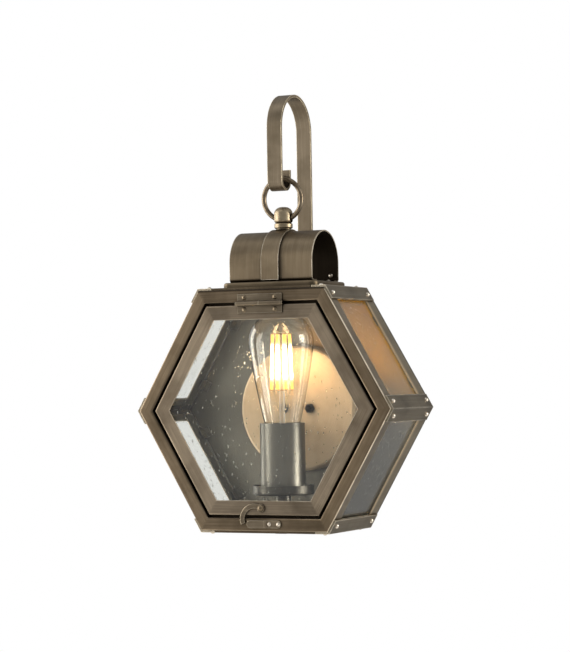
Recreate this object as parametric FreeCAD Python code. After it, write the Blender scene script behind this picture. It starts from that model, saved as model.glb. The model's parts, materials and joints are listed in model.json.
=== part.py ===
"""Hexagonal wall lantern with a glazed top-hung door, a chimney and a hook strap. Millimetres.

The origin is on the wall, behind the centre of the hexagon. +X is to the right as seen from the
front, +Y goes into the wall and +Z is up, so the door faces -Y.
"""
import FreeCAD, Part
import math
import os

V = FreeCAD.Vector

# Lantern body, folded from sheet
ACROSS_FLATS = 230.0
LANTERN_DEPTH = 104.0
SHEET = 1.2
FOLD_R = 0.5
FRAME_FACE = 12.5
FRONT_LIP = 16.0
REAR_LIP = 20.0
GASKET_THICKNESS = 6.0
GASKET_WIDTH = 10.0
GASKET_INSET = 2.0

# Door in the front frame
DOOR_GAP = 2.5
DOOR_FACE = 14.0
DOOR_RIM = 8.0
STOP_CLEARANCE = 0.4
STOP_OVERLAP = 3.0

# Glass panes and the clips that hold them
GLASS = 3.0
PANE_CLEARANCE = 0.3
PANE_CORNER_GAP = 6.4
PANE_END_GAP = 2.8
CLIP_SHEET = 0.8
CLIP_WIDTH = 10.0
CLIP_LEG = 6.0
CLIP_REACH = 10.0
CLIP_SPACING = 70.0

# Corner straps
STRAP_SHEET = 2.0
STRAP_FLANK = 13.5
STRAP_FRONT_GAP = 1.8
STRAP_REAR_GAP = 3.5
STRAP_RIVET_INSET = 7.0
STRAP_RIVET_END = 9.0
PANEL_GAP = 0.5

# Rivets: domed head, plain shank, set flush at the other end
RIVET_HEAD_R = 2.3
RIVET_HEAD_H = 1.4
STRAP_RIVET_HEAD_H = 1.8
RIVET_SHANK_R = 1.2
RIVET_FIT = 0.05

# Chimney on the top panel
BASE_OVERHANG = 6.0
BASE_HEIGHT = 5.6
BASE_EDGE_R = 2.4
BASE_CORNER_R = 7.0
CHIMNEY_LENGTH = 87.8
CHIMNEY_DEPTH = 62.0
CHIMNEY_SETBACK = 24.0
CHIMNEY_HEIGHT = 49.6
CHIMNEY_BEND_R = 3.5
CHIMNEY_FOOT = 11.0
CHIMNEY_RIVET_END = 8.0
BAND_WIDTH = 18.6
BAND_SHEET = 2.0
BAND_FIT = 0.1
VENT_R = 3.0
VENT_PITCH = 14.0
VENT_COUNT = 5
VENT_ROW_SPACING = 24.0

# Finial and hanging ring
COLLAR_R = 8.9
COLLAR_NECK_R = 7.4
COLLAR_NECK_H = 0.8
COLLAR_H = 6.0
DOME_R = 9.1
DOME_FOOT_R = 3.0
DOME_CROWN_R = 7.0
DOME_H = 15.8
CROSS_HOLE_R = 3.9
CROSS_HOLE_H = 4.7
FINIAL_STUD_R = 3.0
FINIAL_NUT_FLATS = 10.0
FINIAL_NUT_H = 5.0
RING_R = 19.9
RING_WIRE_R = 2.4
RING_SEAT = 0.2
RING_LEAN = 4.0

# Hook strap, a flat bar bent on edge
HOOK_WIDTH = 15.4
HOOK_BAR = 2.5
HOOK_RISE = 95.7
HOOK_FOOT_GAP = 5.0
HOOK_RING_DROP = 12.3
HOOK_SLOT = 16.0
HOOK_TIP_RISE = 20.8
HOOK_RIVETS = 2
HOOK_NOTCH_GAP = 0.5

# Wiring cover pressed through the back pan, and what is behind it
COVER_R = 61.5
COVER_RISE = 23.0
COVER_BEND_R = 3.0
COVER_FLANGE = 9.5
COVER_FIT = 0.3
COVER_RIVETS = 6
BRACKET_LENGTH = 104.0
BRACKET_WIDTH = 22.0
BRACKET_BAR = 2.5
BRACKET_CORNER_R = 5.0
SLOT_SPACING = 80.0
SLOT_LENGTH = 14.0
SLOT_HALF_WIDTH = 2.5
STUD_SPACING = 28.0
STUD_R = 2.0
STUD_HOLE_R = 2.5
STUD_PROUD = 6.0
NUT_FLATS = 8.0
NUT_HEX_H = 3.5
NUT_DOME_R = 3.6
NUT_WALL = 1.4
TERMINAL_SIZE = (24.0, 14.0, 14.0)
TERMINAL_BOTTOM_Z = -44.0
TERMINAL_SCREW_R = 1.8
TERMINAL_SCREW_DEPTH = 5.0
LEAD_R = 1.2
LEAD_FLOOR_GAP = 8.0
LEAD_DROP_R = 12.0
LEAD_RISE_R = 5.0
LEAD_X = -22.0
LEAD_HOLE_GAP = 0.6

# Lampholder on its stem, set forward so that the lamp clears the wiring cover
LAMP_CLEARANCE = 2.5
CUP_R = 21.8
CUP_WALL = 1.3
CUP_RIM_Z = -13.4
DISH_R = 29.7
DISH_WALL = 1.2
DISH_RIM_Z = -73.3
DISH_BOTTOM_Z = -82.6
DISH_BEND_R = 2.5
STEM_R = 7.0
STEM_BORE_R = 5.0
NIPPLE_R = 6.0
NIPPLE_FIT = 0.2
STEM_NUT_FLATS = 19.0
STEM_NUT_H = 2.8
INSERT_R = 19.9
INSERT_TOP_Z = -36.0
SOCKET_FLOOR_Z = -65.0
SOCKET_FIT = 0.5
CONTACT_WIDTH = 6.0
CONTACT_SHEET = 0.6
CONTACT_GAP = 0.3

# Lamp
CAP_R = 13.1
CAP_TOP_Z = -33.0
CAP_BOTTOM_Z = -60.0
CAP_BUTTON_R = 5.0
CAP_THREAD_START = 4.0
NECK_R = 13.6
NECK_TOP_Z = -13.0
NECK_TOP_R = 17.6
SHOULDER_Z = 35.0
SHOULDER_R = 27.6
BULB_R = 32.0
BULB_WIDEST_Z = 64.0
BULB_WALL = 0.9
FLARE_R = 11.5
FLARE_H = 14.0
STEM_ROD_R = 2.6
SUPPORT_SHEET = 0.8
SUPPORT_LOW_Z = 18.0
SUPPORT_HIGH_Z = 74.0
FILAMENT_COUNT = 8
FILAMENT_R = 1.2
FILAMENT_LOW_R = 11.0
FILAMENT_HIGH_R = 9.0

# Door hinge
LEAF_LENGTH = 47.0
LEAF_HEIGHT = 6.7
LEAF_SHEET = 1.2
KNUCKLE_R = 2.2
KNUCKLE_GAP = 0.3
LEAF_CLEARANCE = 0.3
PIN_R = 1.2
PIN_FIT = 0.05
PIN_HEAD_R = 1.9
PIN_HEAD_H = 1.0
HINGE_RIVET_SPACING = 32.4
HINGE_RIVET_HEAD_R = 2.5

# Latch: a crescent lever on the door and a keeper on the frame
LATCH_X = -2.0
LATCH_REACH = (6.9, -10.6)
LATCH_WIDTH = 4.8
LATCH_SHEET = 1.2
LATCH_GAP = 0.3
LATCH_EYE_R = 4.0
LATCH_TIP_ANGLE = 266.0
LATCH_OPEN_ANGLE = 66.0
PIVOT_HEAD_R = 3.2
PIVOT_HEAD_H = 2.3
PIVOT_SHANK_R = 1.5
KEEPER_SHEET = 1.2
KEEPER_HEIGHT = 7.4
KEEPER_TONGUE = 18.0
KEEPER_STEP = 2.0
KEEPER_FLANGE = 15.0
KEEPER_CLEARANCE = 0.9
KEEPER_LEFT_X = -16.0
KEEPER_RAISE = 0.6
KEEPER_RIVET_SPACING = 9.5
KEEPER_RIVET_HEAD_R = 2.1

# Sizes that follow from the ones above
APOTHEM = ACROSS_FLATS / 2
CORNER_R = APOTHEM / math.cos(math.pi / 6)
Y_REAR = -GASKET_THICKNESS
Y_FRONT = Y_REAR - LANTERN_DEPTH
Y_CHIMNEY = Y_FRONT + CHIMNEY_SETBACK + CHIMNEY_DEPTH / 2
FRAME_INNER = APOTHEM - FRAME_FACE
DOOR_OUTER = FRAME_INNER - DOOR_GAP
DOOR_INNER = DOOR_OUTER - DOOR_FACE
Y_STOP = Y_FRONT + DOOR_RIM + STOP_CLEARANCE
Y_STRAP = Y_FRONT + STRAP_FRONT_GAP
STRAP_LENGTH = LANTERN_DEPTH - STRAP_FRONT_GAP - STRAP_REAR_GAP
PANEL_HALF = CORNER_R / 2 - STRAP_FLANK - PANEL_GAP
PANEL_TOP = APOTHEM + STRAP_SHEET
PANE_HALF = CORNER_R / 2 - PANE_CORNER_GAP
PANE_OUTER = APOTHEM - SHEET - PANE_CLEARANCE
PANE_INNER = PANE_OUTER - GLASS
BASE_TOP = PANEL_TOP + BASE_HEIGHT
CHIMNEY_TOP = BASE_TOP + CHIMNEY_HEIGHT
CHIMNEY_HALF = CHIMNEY_DEPTH / 2
ARCH_Z = CHIMNEY_TOP - CHIMNEY_HALF
BAND_TOP = CHIMNEY_TOP + BAND_FIT + BAND_SHEET
COLLAR_TOP = BAND_TOP + COLLAR_H
CROSS_HOLE_Z = COLLAR_TOP + CROSS_HOLE_H
RING_BOTTOM_Z = CROSS_HOLE_Z - CROSS_HOLE_R + RING_SEAT + RING_WIRE_R
Y_CROWN = Y_REAR - COVER_RISE
Y_LAMP = Y_CROWN - LAMP_CLEARANCE - BULB_R
COVER_FLANGE_R = COVER_R + COVER_FLANGE
HOOK_BACK = Y_REAR + HOOK_BAR
HOOK_FRONT = Y_CHIMNEY - HOOK_SLOT - HOOK_BAR
HOOK_ARCH_R = (HOOK_BACK - HOOK_FRONT) / 2
HOOK_TURN_Z = RING_BOTTOM_Z + 2 * RING_R - HOOK_RING_DROP
HOOK_TOP = HOOK_TURN_Z + HOOK_RISE
HOOK_FOOT = COVER_FLANGE_R + HOOK_FOOT_GAP
HOOK_RIVET_PITCH = (APOTHEM - GASKET_INSET - GASKET_WIDTH - HOOK_FOOT) / (HOOK_RIVETS + 1)
CUP_FLOOR_Z = DISH_BOTTOM_Z + DISH_WALL
HINGE_Z = (FRAME_INNER + DOOR_OUTER) / 2
HINGE_Y = Y_FRONT - KNUCKLE_R
LATCH_Z = -(DOOR_OUTER + DOOR_INNER) / 2
KEEPER_Z = -(APOTHEM + FRAME_INNER) / 2 + KEEPER_RAISE
LEVER_FRONT = Y_FRONT - LATCH_GAP - LATCH_SHEET
TERMINAL_X = LEAD_X - TERMINAL_SIZE[0] / 2
Y_LEAD = Y_CROWN + SHEET + TERMINAL_SIZE[1] / 2
LEAD_LOW_Z = -APOTHEM + LEAD_FLOOR_GAP
OVERCUT = 1.0


def box(x, y, z):
    """Block between two (low, high) limits on each axis."""
    return Part.makeBox(x[1] - x[0], y[1] - y[0], z[1] - z[0], V(x[0], y[0], z[0]))


def polar(centre, radius, degrees):
    """Point on a circle in a drawing plane."""
    angle = math.radians(degrees)
    return (centre[0] + radius * math.cos(angle), centre[1] + radius * math.sin(angle))


def arc(centre, radius, start, end):
    """Outline entry for an arc: a point on the way and its end point."""
    return (polar(centre, radius, (start + end) / 2), polar(centre, radius, end))


def round_ended(x_from, x_to, z, radius):
    """Drawing of a level slot or strip with half-round ends, between its two end centres."""
    return [
        (x_from, z + radius),
        arc((x_from, z), radius, 90, 270),
        (x_to, z - radius),
        arc((x_to, z), radius, -90, 90),
    ]


def outline(entries, place):
    """Closed wire through drawing points; an entry of two points is an arc through the first."""
    edges = []
    start = entries[0]
    for entry in entries[1:] + entries[:1]:
        if isinstance(entry[0], tuple):
            through, end = entry
            edges.append(Part.Arc(place(start), place(through), place(end)).toShape())
        else:
            end = entry
            edges.append(Part.LineSegment(place(start), place(end)).toShape())
        start = end
    return Part.Wire(edges)


def on_front(point):
    """Drawing seen from the front, on the plane y = 0."""
    return V(point[0], 0, point[1])


def on_side(point):
    """Drawing seen from the right, measured from the chimney's axis, on the plane x = 0."""
    return V(0, Y_CHIMNEY + point[0], point[1])


def from_above(point):
    """Drawing seen from above, measured from the front face, on the plane z = 0."""
    return V(point[0], Y_FRONT + point[1], 0)


def front_prism(entries, y_from, y_to):
    """Front drawing pulled along Y."""
    shape = Part.Face(outline(entries, on_front)).extrude(V(0, y_to - y_from, 0))
    shape.translate(V(0, y_from, 0))
    return shape


def side_prism(entries, width):
    """Side drawing pulled along X, evenly about the middle."""
    shape = Part.Face(outline(entries, on_side)).extrude(V(width, 0, 0))
    shape.translate(V(-width / 2, 0, 0))
    return shape


def turned(entries, base, direction):
    """(radius, height) drawing turned about its axis, stood at base along direction."""
    face = Part.Face(outline(entries, on_front))
    shape = face.revolve(V(0, 0, 0), V(0, 0, 1), 360)
    shape.Placement = FreeCAD.Placement(base, FreeCAD.Rotation(V(0, 0, 1), direction))
    return shape


def swing(shape, degrees):
    """Copy turned about the lantern's depth axis, counter-clockwise as seen from the front."""
    moved = shape.copy()
    moved.rotate(V(0, 0, 0), V(0, -1, 0), degrees)
    return moved


def hex_prism(apothem, y_from, y_to):
    """Hexagon with flat top and bottom, pulled along Y."""
    corners = [polar((0, 0), apothem / math.cos(math.pi / 6), 60 * i) for i in range(6)]
    return front_prism(corners, y_from, y_to)


def hex_ring(outer, inner, y_from, y_to):
    """Hexagonal ring between two apothems."""
    return hex_prism(outer, y_from, y_to).cut(hex_prism(inner, y_from, y_to))


def hex_bar(flats, height, base, direction):
    """Hexagon bar stood at base along direction."""
    corners = [polar((0, 0), flats / 2 / math.cos(math.pi / 6), 60 * i) for i in range(6)]
    body = Part.Face(outline(corners, lambda p: V(p[0], p[1], 0))).extrude(V(0, 0, height))
    body.Placement = FreeCAD.Placement(base, FreeCAD.Rotation(V(0, 0, 1), direction))
    return body


def hex_nut(flats, height, bore_r, base, direction):
    """Plain hexagon nut stood at base along direction."""
    body = hex_bar(flats, height, base, direction)
    return body.cut(Part.makeCylinder(bore_r, height, base, direction))


def rounded_plate(half_x, half_y, corner_r, y_centre, z_from, z_to):
    """Flat plate with rounded corners, seen from above."""
    plate = box((-half_x, half_x), (y_centre - half_y, y_centre + half_y), (z_from, z_to))
    uprights = [e for e in plate.Edges if abs(e.tangentAt(e.FirstParameter).z) > 0.9]
    return plate.makeFillet(corner_r, uprights)


def merged(first, *others):
    """One solid from overlapping or touching pieces, without leftover seams."""
    return first.fuse(list(others)).removeSplitter()


def drilled(shape, spots, radius, depth):
    """Holes bored inward from (point, outward) spots."""
    tools = []
    for point, outward in spots:
        start = point + outward * OVERCUT
        tools.append(Part.makeCylinder(radius, depth + OVERCUT, start, outward * -1))
    return shape.cut(tools)


def rivet(spot, head_r, head_h, shank_r, grip):
    """Domed rivet whose head seats at spot, with a shank through the grip."""
    point, outward = spot
    ball_r = (head_r ** 2 + head_h ** 2) / (2 * head_h)
    rim_angle = math.degrees(math.asin((ball_r - head_h) / ball_r))
    drawing = [(shank_r, -grip), (shank_r, 0), (head_r, 0)]
    drawing.append(arc((0, head_h - ball_r), ball_r, rim_angle, 90))
    drawing.append((0, -grip))
    return turned(drawing, point, outward)


def rivets(spots, grip, head_r=RIVET_HEAD_R, head_h=RIVET_HEAD_H):
    """Group of equal rivets."""
    return Part.makeCompound([rivet(s, head_r, head_h, RIVET_SHANK_R, grip) for s in spots])


def strap_rivet_spots(y):
    """Rivet seats on the outside of all corner straps at one depth."""
    spots = []
    along = CORNER_R / 2 - STRAP_RIVET_INSET
    for side in range(6):
        outward = polar((0, 0), 1, 30 + 60 * side)
        for offset in (-along, along):
            x = outward[0] * PANEL_TOP - outward[1] * offset
            z = outward[1] * PANEL_TOP + outward[0] * offset
            spots.append((V(x, y, z), V(outward[0], 0, outward[1])))
    return spots


STRAP_SPOTS_FRONT = strap_rivet_spots(Y_STRAP + STRAP_RIVET_END)
STRAP_SPOTS_REAR = strap_rivet_spots(Y_STRAP + STRAP_LENGTH - STRAP_RIVET_END + SHEET)
HINGE_RIVET_Z = KNUCKLE_R + LEAF_CLEARANCE + LEAF_HEIGHT / 2
TOWARD_FRONT = V(0, -1, 0)
TOWARD_WALL = V(0, 1, 0)
UP = V(0, 0, 1)
DOWN = V(0, 0, -1)


def hinge_rivet_spots(z):
    """Rivet seats on one hinge leaf."""
    return [(V(s * HINGE_RIVET_SPACING / 2, Y_FRONT - LEAF_SHEET, z), TOWARD_FRONT) for s in (-1, 1)]


FRAME_HINGE_SPOTS = hinge_rivet_spots(HINGE_Z + HINGE_RIVET_Z)
DOOR_HINGE_SPOTS = hinge_rivet_spots(HINGE_Z - HINGE_RIVET_Z)
KEEPER_FLANGE_X = KEEPER_LEFT_X + KEEPER_TONGUE + KEEPER_STEP + KEEPER_FLANGE / 2
KEEPER_SPOTS = [
    (V(KEEPER_FLANGE_X + s * KEEPER_RIVET_SPACING / 2, Y_FRONT - KEEPER_SHEET, KEEPER_Z), TOWARD_FRONT)
    for s in (-1, 1)
]
LATCH_SPOT = (V(LATCH_X, LEVER_FRONT - LATCH_GAP, LATCH_Z), TOWARD_FRONT)
HOOK_RIVET_HEIGHTS = [HOOK_FOOT + (i + 1) * HOOK_RIVET_PITCH for i in range(HOOK_RIVETS)]
HOOK_SPOTS = [(V(0, HOOK_BACK, z), TOWARD_WALL) for z in HOOK_RIVET_HEIGHTS]
STUD_POINTS = [V(s * STUD_SPACING / 2, -BRACKET_BAR, 0) for s in (-1, 1)]


def cover_rivet_spots():
    """Rivet seats round the rear face of the wiring cover's flange."""
    spots = []
    for i in range(COVER_RIVETS):
        x, z = polar((0, 0), COVER_R + COVER_FLANGE / 2, 360 / COVER_RIVETS * i)
        spots.append((V(x, Y_REAR + SHEET, z), TOWARD_WALL))
    return spots


def chimney_rivet_spots():
    """Rivet seats on the chimney's two inward feet."""
    x = CHIMNEY_LENGTH / 2 - CHIMNEY_RIVET_END
    y = CHIMNEY_HALF - (CHIMNEY_FOOT + CHIMNEY_BEND_R) / 2
    return [(V(i * x, Y_CHIMNEY + j * y, BASE_TOP + SHEET), UP) for i in (-1, 1) for j in (-1, 1)]


def folded(shape, y, apothem, radius):
    """Rounds the six edges of a fold, found by their depth and their distance from the axis."""
    edges = []
    for edge in shape.Edges:
        middle = edge.CenterOfMass
        level = max(abs(vertex.Y - y) for vertex in edge.Vertexes) < RIVET_FIT
        if level and abs(math.hypot(middle.x, middle.z) - apothem) < RIVET_FIT:
            edges.append(edge)
    return shape.makeFillet(radius, edges)


def front_frame():
    """Face, outer lip folded back, inner return, and a stop behind the door's rim."""
    y_face = Y_FRONT + SHEET
    face = hex_ring(APOTHEM, FRAME_INNER, Y_FRONT, y_face)
    lip = hex_ring(APOTHEM, APOTHEM - SHEET, Y_FRONT, Y_FRONT + FRONT_LIP)
    inner_return = hex_ring(FRAME_INNER + SHEET, FRAME_INNER, Y_FRONT, Y_STOP + SHEET)
    stop = hex_ring(FRAME_INNER + SHEET, DOOR_OUTER - STOP_OVERLAP, Y_STOP, Y_STOP + SHEET)
    frame = merged(face, lip, inner_return, stop)
    frame = folded(frame, Y_FRONT, APOTHEM, FOLD_R + SHEET)
    frame = folded(frame, y_face, APOTHEM - SHEET, FOLD_R)
    frame = folded(frame, Y_FRONT, FRAME_INNER, FOLD_R + SHEET)
    frame = folded(frame, y_face, FRAME_INNER + SHEET, FOLD_R)
    hole_r = RIVET_SHANK_R + RIVET_FIT
    frame = drilled(frame, STRAP_SPOTS_FRONT, hole_r, STRAP_SHEET + 2 * SHEET)
    return drilled(frame, FRAME_HINGE_SPOTS + KEEPER_SPOTS, hole_r, LEAF_SHEET + 2 * SHEET)


def back_pan():
    """Back panel with lips folded forward and a round hole for the wiring cover."""
    panel = hex_prism(APOTHEM, Y_REAR - SHEET, Y_REAR)
    lip = hex_ring(APOTHEM, APOTHEM - SHEET, Y_REAR - REAR_LIP, Y_REAR)
    pan = folded(merged(panel, lip), Y_REAR, APOTHEM, FOLD_R + SHEET)
    pan = folded(pan, Y_REAR - SHEET, APOTHEM - SHEET, FOLD_R)
    hole_r = RIVET_SHANK_R + RIVET_FIT
    pan = drilled(pan, STRAP_SPOTS_REAR, hole_r, STRAP_SHEET + 2 * SHEET)
    pan = drilled(pan, cover_rivet_spots(), hole_r, 3 * SHEET)
    pan = drilled(pan, HOOK_SPOTS, hole_r, HOOK_BAR + 2 * SHEET)
    start = V(0, Y_REAR - 2 * SHEET, 0)
    return pan.cut(Part.makeCylinder(COVER_R + COVER_FIT, 3 * SHEET, start, TOWARD_WALL))


def corner_strap(corner):
    """V-folded strap over one corner of the hexagon, with four rivet holes."""
    outer_r = (APOTHEM + STRAP_SHEET) / math.cos(math.pi / 6)
    ends = [(CORNER_R - STRAP_FLANK / 2, s * STRAP_FLANK * math.cos(math.pi / 6)) for s in (1, -1)]
    step = polar((0, 0), STRAP_SHEET, 30)
    drawing = [
        (CORNER_R, 0),
        ends[0],
        (ends[0][0] + step[0], ends[0][1] + step[1]),
        (outer_r, 0),
        (ends[1][0] + step[0], ends[1][1] - step[1]),
        ends[1],
    ]
    strap = swing(front_prism(drawing, Y_STRAP, Y_STRAP + STRAP_LENGTH), 60 * corner)
    spots = STRAP_SPOTS_FRONT + STRAP_SPOTS_REAR
    return drilled(strap, spots, RIVET_SHANK_R + RIVET_FIT, STRAP_SHEET + OVERCUT)


def panel_sheet():
    """Flat sheet between two corner straps, on the top side of the hexagon."""
    return box((-PANEL_HALF, PANEL_HALF), (Y_STRAP, Y_STRAP + STRAP_LENGTH), (APOTHEM, PANEL_TOP))


def vent_spots(z):
    """Two rows of round air holes under the chimney."""
    first = -(VENT_COUNT - 1) / 2
    spots = []
    for i in range(VENT_COUNT):
        for side in (-1, 1):
            x = (first + i) * VENT_PITCH
            spots.append((V(x, Y_CHIMNEY + side * VENT_ROW_SPACING / 2, z), UP))
    return spots


def top_panel():
    """Metal top side with the air holes."""
    return drilled(panel_sheet(), vent_spots(PANEL_TOP), VENT_R, 2 * STRAP_SHEET)


def bottom_panel():
    """Metal floor with the hole for the stem's nipple."""
    floor = panel_sheet().mirror(V(0, 0, 0), UP)
    spot = (V(0, Y_LAMP, -PANEL_TOP), DOWN)
    return drilled(floor, [spot], NIPPLE_R + NIPPLE_FIT, 2 * STRAP_SHEET)


def side_glass(side):
    """Flat pane behind the lips of one slanting side."""
    y_from = Y_FRONT + SHEET + PANE_END_GAP
    y_to = Y_REAR - SHEET - PANE_END_GAP
    pane = box((-PANE_HALF, PANE_HALF), (y_from, y_to), (PANE_INNER, PANE_OUTER))
    return swing(pane, side - 90)


def pane_clip(x, y_wall, into):
    """Folded clip soldered to the frame's or pan's inside, bearing on the back of a pane."""
    z_top = PANE_INNER - PANE_CLEARANCE
    x_limits = (x - CLIP_WIDTH / 2, x + CLIP_WIDTH / 2)
    foot = sorted((y_wall, y_wall + into * CLIP_SHEET))
    finger = sorted((y_wall, y_wall + into * CLIP_REACH))
    return merged(
        box(x_limits, foot, (z_top - CLIP_LEG, z_top)),
        box(x_limits, finger, (z_top - CLIP_SHEET, z_top)),
    )


def side_glass_clips(sides):
    """Two clips at the front and two at the rear of each side pane."""
    clips = []
    for side in sides:
        for x in (-CLIP_SPACING / 2, CLIP_SPACING / 2):
            clips.append(swing(pane_clip(x, Y_FRONT + SHEET, 1), side - 90))
            clips.append(swing(pane_clip(x, Y_REAR - SHEET, -1), side - 90))
    return Part.makeCompound(clips)


def rounded_rim(plate, z, radius):
    """Plate with the edges at one height rounded."""
    rim = [e for e in plate.Edges if all(abs(v.Z - z) < RIVET_FIT for v in e.Vertexes)]
    return plate.makeFillet(radius, rim)


def chimney_base():
    """Pressed tray, open below, that carries the chimney on the top panel."""
    half_x = CHIMNEY_LENGTH / 2 + BASE_OVERHANG
    half_y = CHIMNEY_HALF + BASE_OVERHANG
    tray = rounded_plate(half_x, half_y, BASE_CORNER_R, Y_CHIMNEY, PANEL_TOP, BASE_TOP)
    tray = rounded_rim(tray, BASE_TOP, BASE_EDGE_R)
    hollow_r = BASE_CORNER_R - SHEET
    ceiling = BASE_TOP - SHEET
    hollow = rounded_plate(half_x - SHEET, half_y - SHEET, hollow_r, Y_CHIMNEY, PANEL_TOP, ceiling)
    hollow = rounded_rim(hollow, ceiling, BASE_EDGE_R - SHEET)
    tray = drilled(tray.cut(hollow), vent_spots(BASE_TOP), VENT_R, 2 * SHEET)
    return drilled(tray, chimney_rivet_spots(), RIVET_SHANK_R + RIVET_FIT, 3 * SHEET)


def chimney_arch():
    """Sheet bent to an arch that is open at both ends, with feet turned inward."""
    w, t, r = CHIMNEY_HALF, SHEET, CHIMNEY_BEND_R
    low = BASE_TOP
    toe = w - CHIMNEY_FOOT
    left, right = (-w + r, low + r), (w - r, low + r)
    drawing = [
        (-toe, low),
        (-w + r, low),
        arc(left, r, 270, 180),
        (-w, ARCH_Z),
        arc((0, ARCH_Z), w, 180, 0),
        (w, low + r),
        arc(right, r, 0, -90),
        (toe, low),
        (toe, low + t),
        (w - r, low + t),
        arc(right, r - t, -90, 0),
        (w - t, ARCH_Z),
        arc((0, ARCH_Z), w - t, 0, 180),
        (-w + t, low + r),
        arc(left, r - t, 180, 270),
        (-toe, low + t),
    ]
    arch = side_prism(drawing, CHIMNEY_LENGTH)
    arch = drilled(arch, [(V(0, Y_CHIMNEY, CHIMNEY_TOP), UP)], FINIAL_STUD_R + PIN_FIT, 3 * SHEET)
    return drilled(arch, chimney_rivet_spots(), RIVET_SHANK_R + RIVET_FIT, 2 * SHEET)


def chimney_band():
    """Flat band laid over the middle of the chimney, held by the finial."""
    inner = CHIMNEY_HALF + BAND_FIT
    outer = inner + BAND_SHEET
    low = BASE_TOP + CHIMNEY_BEND_R / 2
    drawing = [
        (-outer, low),
        (-outer, ARCH_Z),
        arc((0, ARCH_Z), outer, 180, 0),
        (outer, low),
        (inner, low),
        (inner, ARCH_Z),
        arc((0, ARCH_Z), inner, 0, 180),
        (-inner, low),
    ]
    band = side_prism(drawing, BAND_WIDTH)
    return drilled(band, [(V(0, Y_CHIMNEY, BAND_TOP), UP)], FINIAL_STUD_R + PIN_FIT, 3 * BAND_SHEET)


def finial_collar():
    """Turned collar with a rounded rim on a narrower neck."""
    bore = FINIAL_STUD_R + PIN_FIT
    rim_r = (COLLAR_H - COLLAR_NECK_H) / 4
    drawing = [
        (bore, 0),
        (COLLAR_NECK_R, 0),
        (COLLAR_NECK_R, COLLAR_NECK_H),
        (COLLAR_R - rim_r, COLLAR_NECK_H),
        arc((COLLAR_R - rim_r, COLLAR_NECK_H + rim_r), rim_r, -90, 0),
        (COLLAR_R, COLLAR_H - rim_r),
        arc((COLLAR_R - rim_r, COLLAR_H - rim_r), rim_r, 0, 90),
        (bore, COLLAR_H),
    ]
    return turned(drawing, V(0, Y_CHIMNEY, BAND_TOP), UP)


def finial_nut():
    """Nut on the finial's stud, under the top of the arch."""
    half_flat = FINIAL_NUT_FLATS / 2 / math.cos(math.pi / 6)
    inner_r = CHIMNEY_HALF - SHEET
    drop = inner_r - math.sqrt(inner_r ** 2 - half_flat ** 2)
    top = CHIMNEY_TOP - SHEET - drop
    base = V(0, Y_CHIMNEY, top - FINIAL_NUT_H)
    return hex_nut(FINIAL_NUT_FLATS, FINIAL_NUT_H, FINIAL_STUD_R + PIN_FIT, base, UP)


def finial():
    """Turned knob with a stud below and a cross hole for the ring."""
    stud = COLLAR_TOP - CHIMNEY_TOP + SHEET + 2 * FINIAL_NUT_H - COLLAR_NECK_H
    shoulder = DOME_H - DOME_CROWN_R
    drawing = [
        (0, -stud),
        (FINIAL_STUD_R, -stud),
        (FINIAL_STUD_R, 0),
        (DOME_R - DOME_FOOT_R, 0),
        arc((DOME_R - DOME_FOOT_R, DOME_FOOT_R), DOME_FOOT_R, -90, 0),
        (DOME_R, shoulder),
        arc((DOME_R - DOME_CROWN_R, shoulder), DOME_CROWN_R, 0, 90),
        (0, DOME_H),
    ]
    knob = turned(drawing, V(0, Y_CHIMNEY, COLLAR_TOP), UP)
    start = V(-2 * DOME_R, Y_CHIMNEY, CROSS_HOLE_Z)
    return knob.cut(Part.makeCylinder(CROSS_HOLE_R, 4 * DOME_R, start, V(1, 0, 0)))


def hanging_ring():
    """Wire ring standing in the finial's cross hole, leaning into the hook."""
    centre = V(0, Y_CHIMNEY, RING_BOTTOM_Z + RING_R)
    ring = Part.makeTorus(RING_R, RING_WIRE_R, centre, V(0, 1, 0))
    ring.rotate(V(0, Y_CHIMNEY, RING_BOTTOM_Z), V(1, 0, 0), RING_LEAN)
    return ring


def hook_strap():
    """Flat bar: up behind the back pan, over in an arch, down, and turned up round the ring."""
    back = HOOK_BACK - Y_CHIMNEY
    front = HOOK_FRONT - Y_CHIMNEY
    inner_back = back - HOOK_BAR
    crown = (back - HOOK_ARCH_R, HOOK_TOP - HOOK_ARCH_R)
    turn_r = HOOK_SLOT / 2
    turn = (front + HOOK_BAR + turn_r, HOOK_TURN_Z + HOOK_BAR + turn_r)
    tip = HOOK_TURN_Z + HOOK_TIP_RISE
    drawing = [
        (inner_back, HOOK_FOOT),
        (back, HOOK_FOOT),
        (back, crown[1]),
        arc(crown, HOOK_ARCH_R, 0, 180),
        (front, turn[1]),
        arc(turn, turn_r + HOOK_BAR, 180, 360),
        (turn[0] + turn_r + HOOK_BAR, tip),
        (turn[0] + turn_r, tip),
        (turn[0] + turn_r, turn[1]),
        arc(turn, turn_r, 360, 180),
        (front + HOOK_BAR, crown[1]),
        arc(crown, HOOK_ARCH_R - HOOK_BAR, 180, 0),
    ]
    bar = side_prism(drawing, HOOK_WIDTH)
    return drilled(bar, HOOK_SPOTS, RIVET_SHANK_R + RIVET_FIT, 2 * HOOK_BAR)


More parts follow.
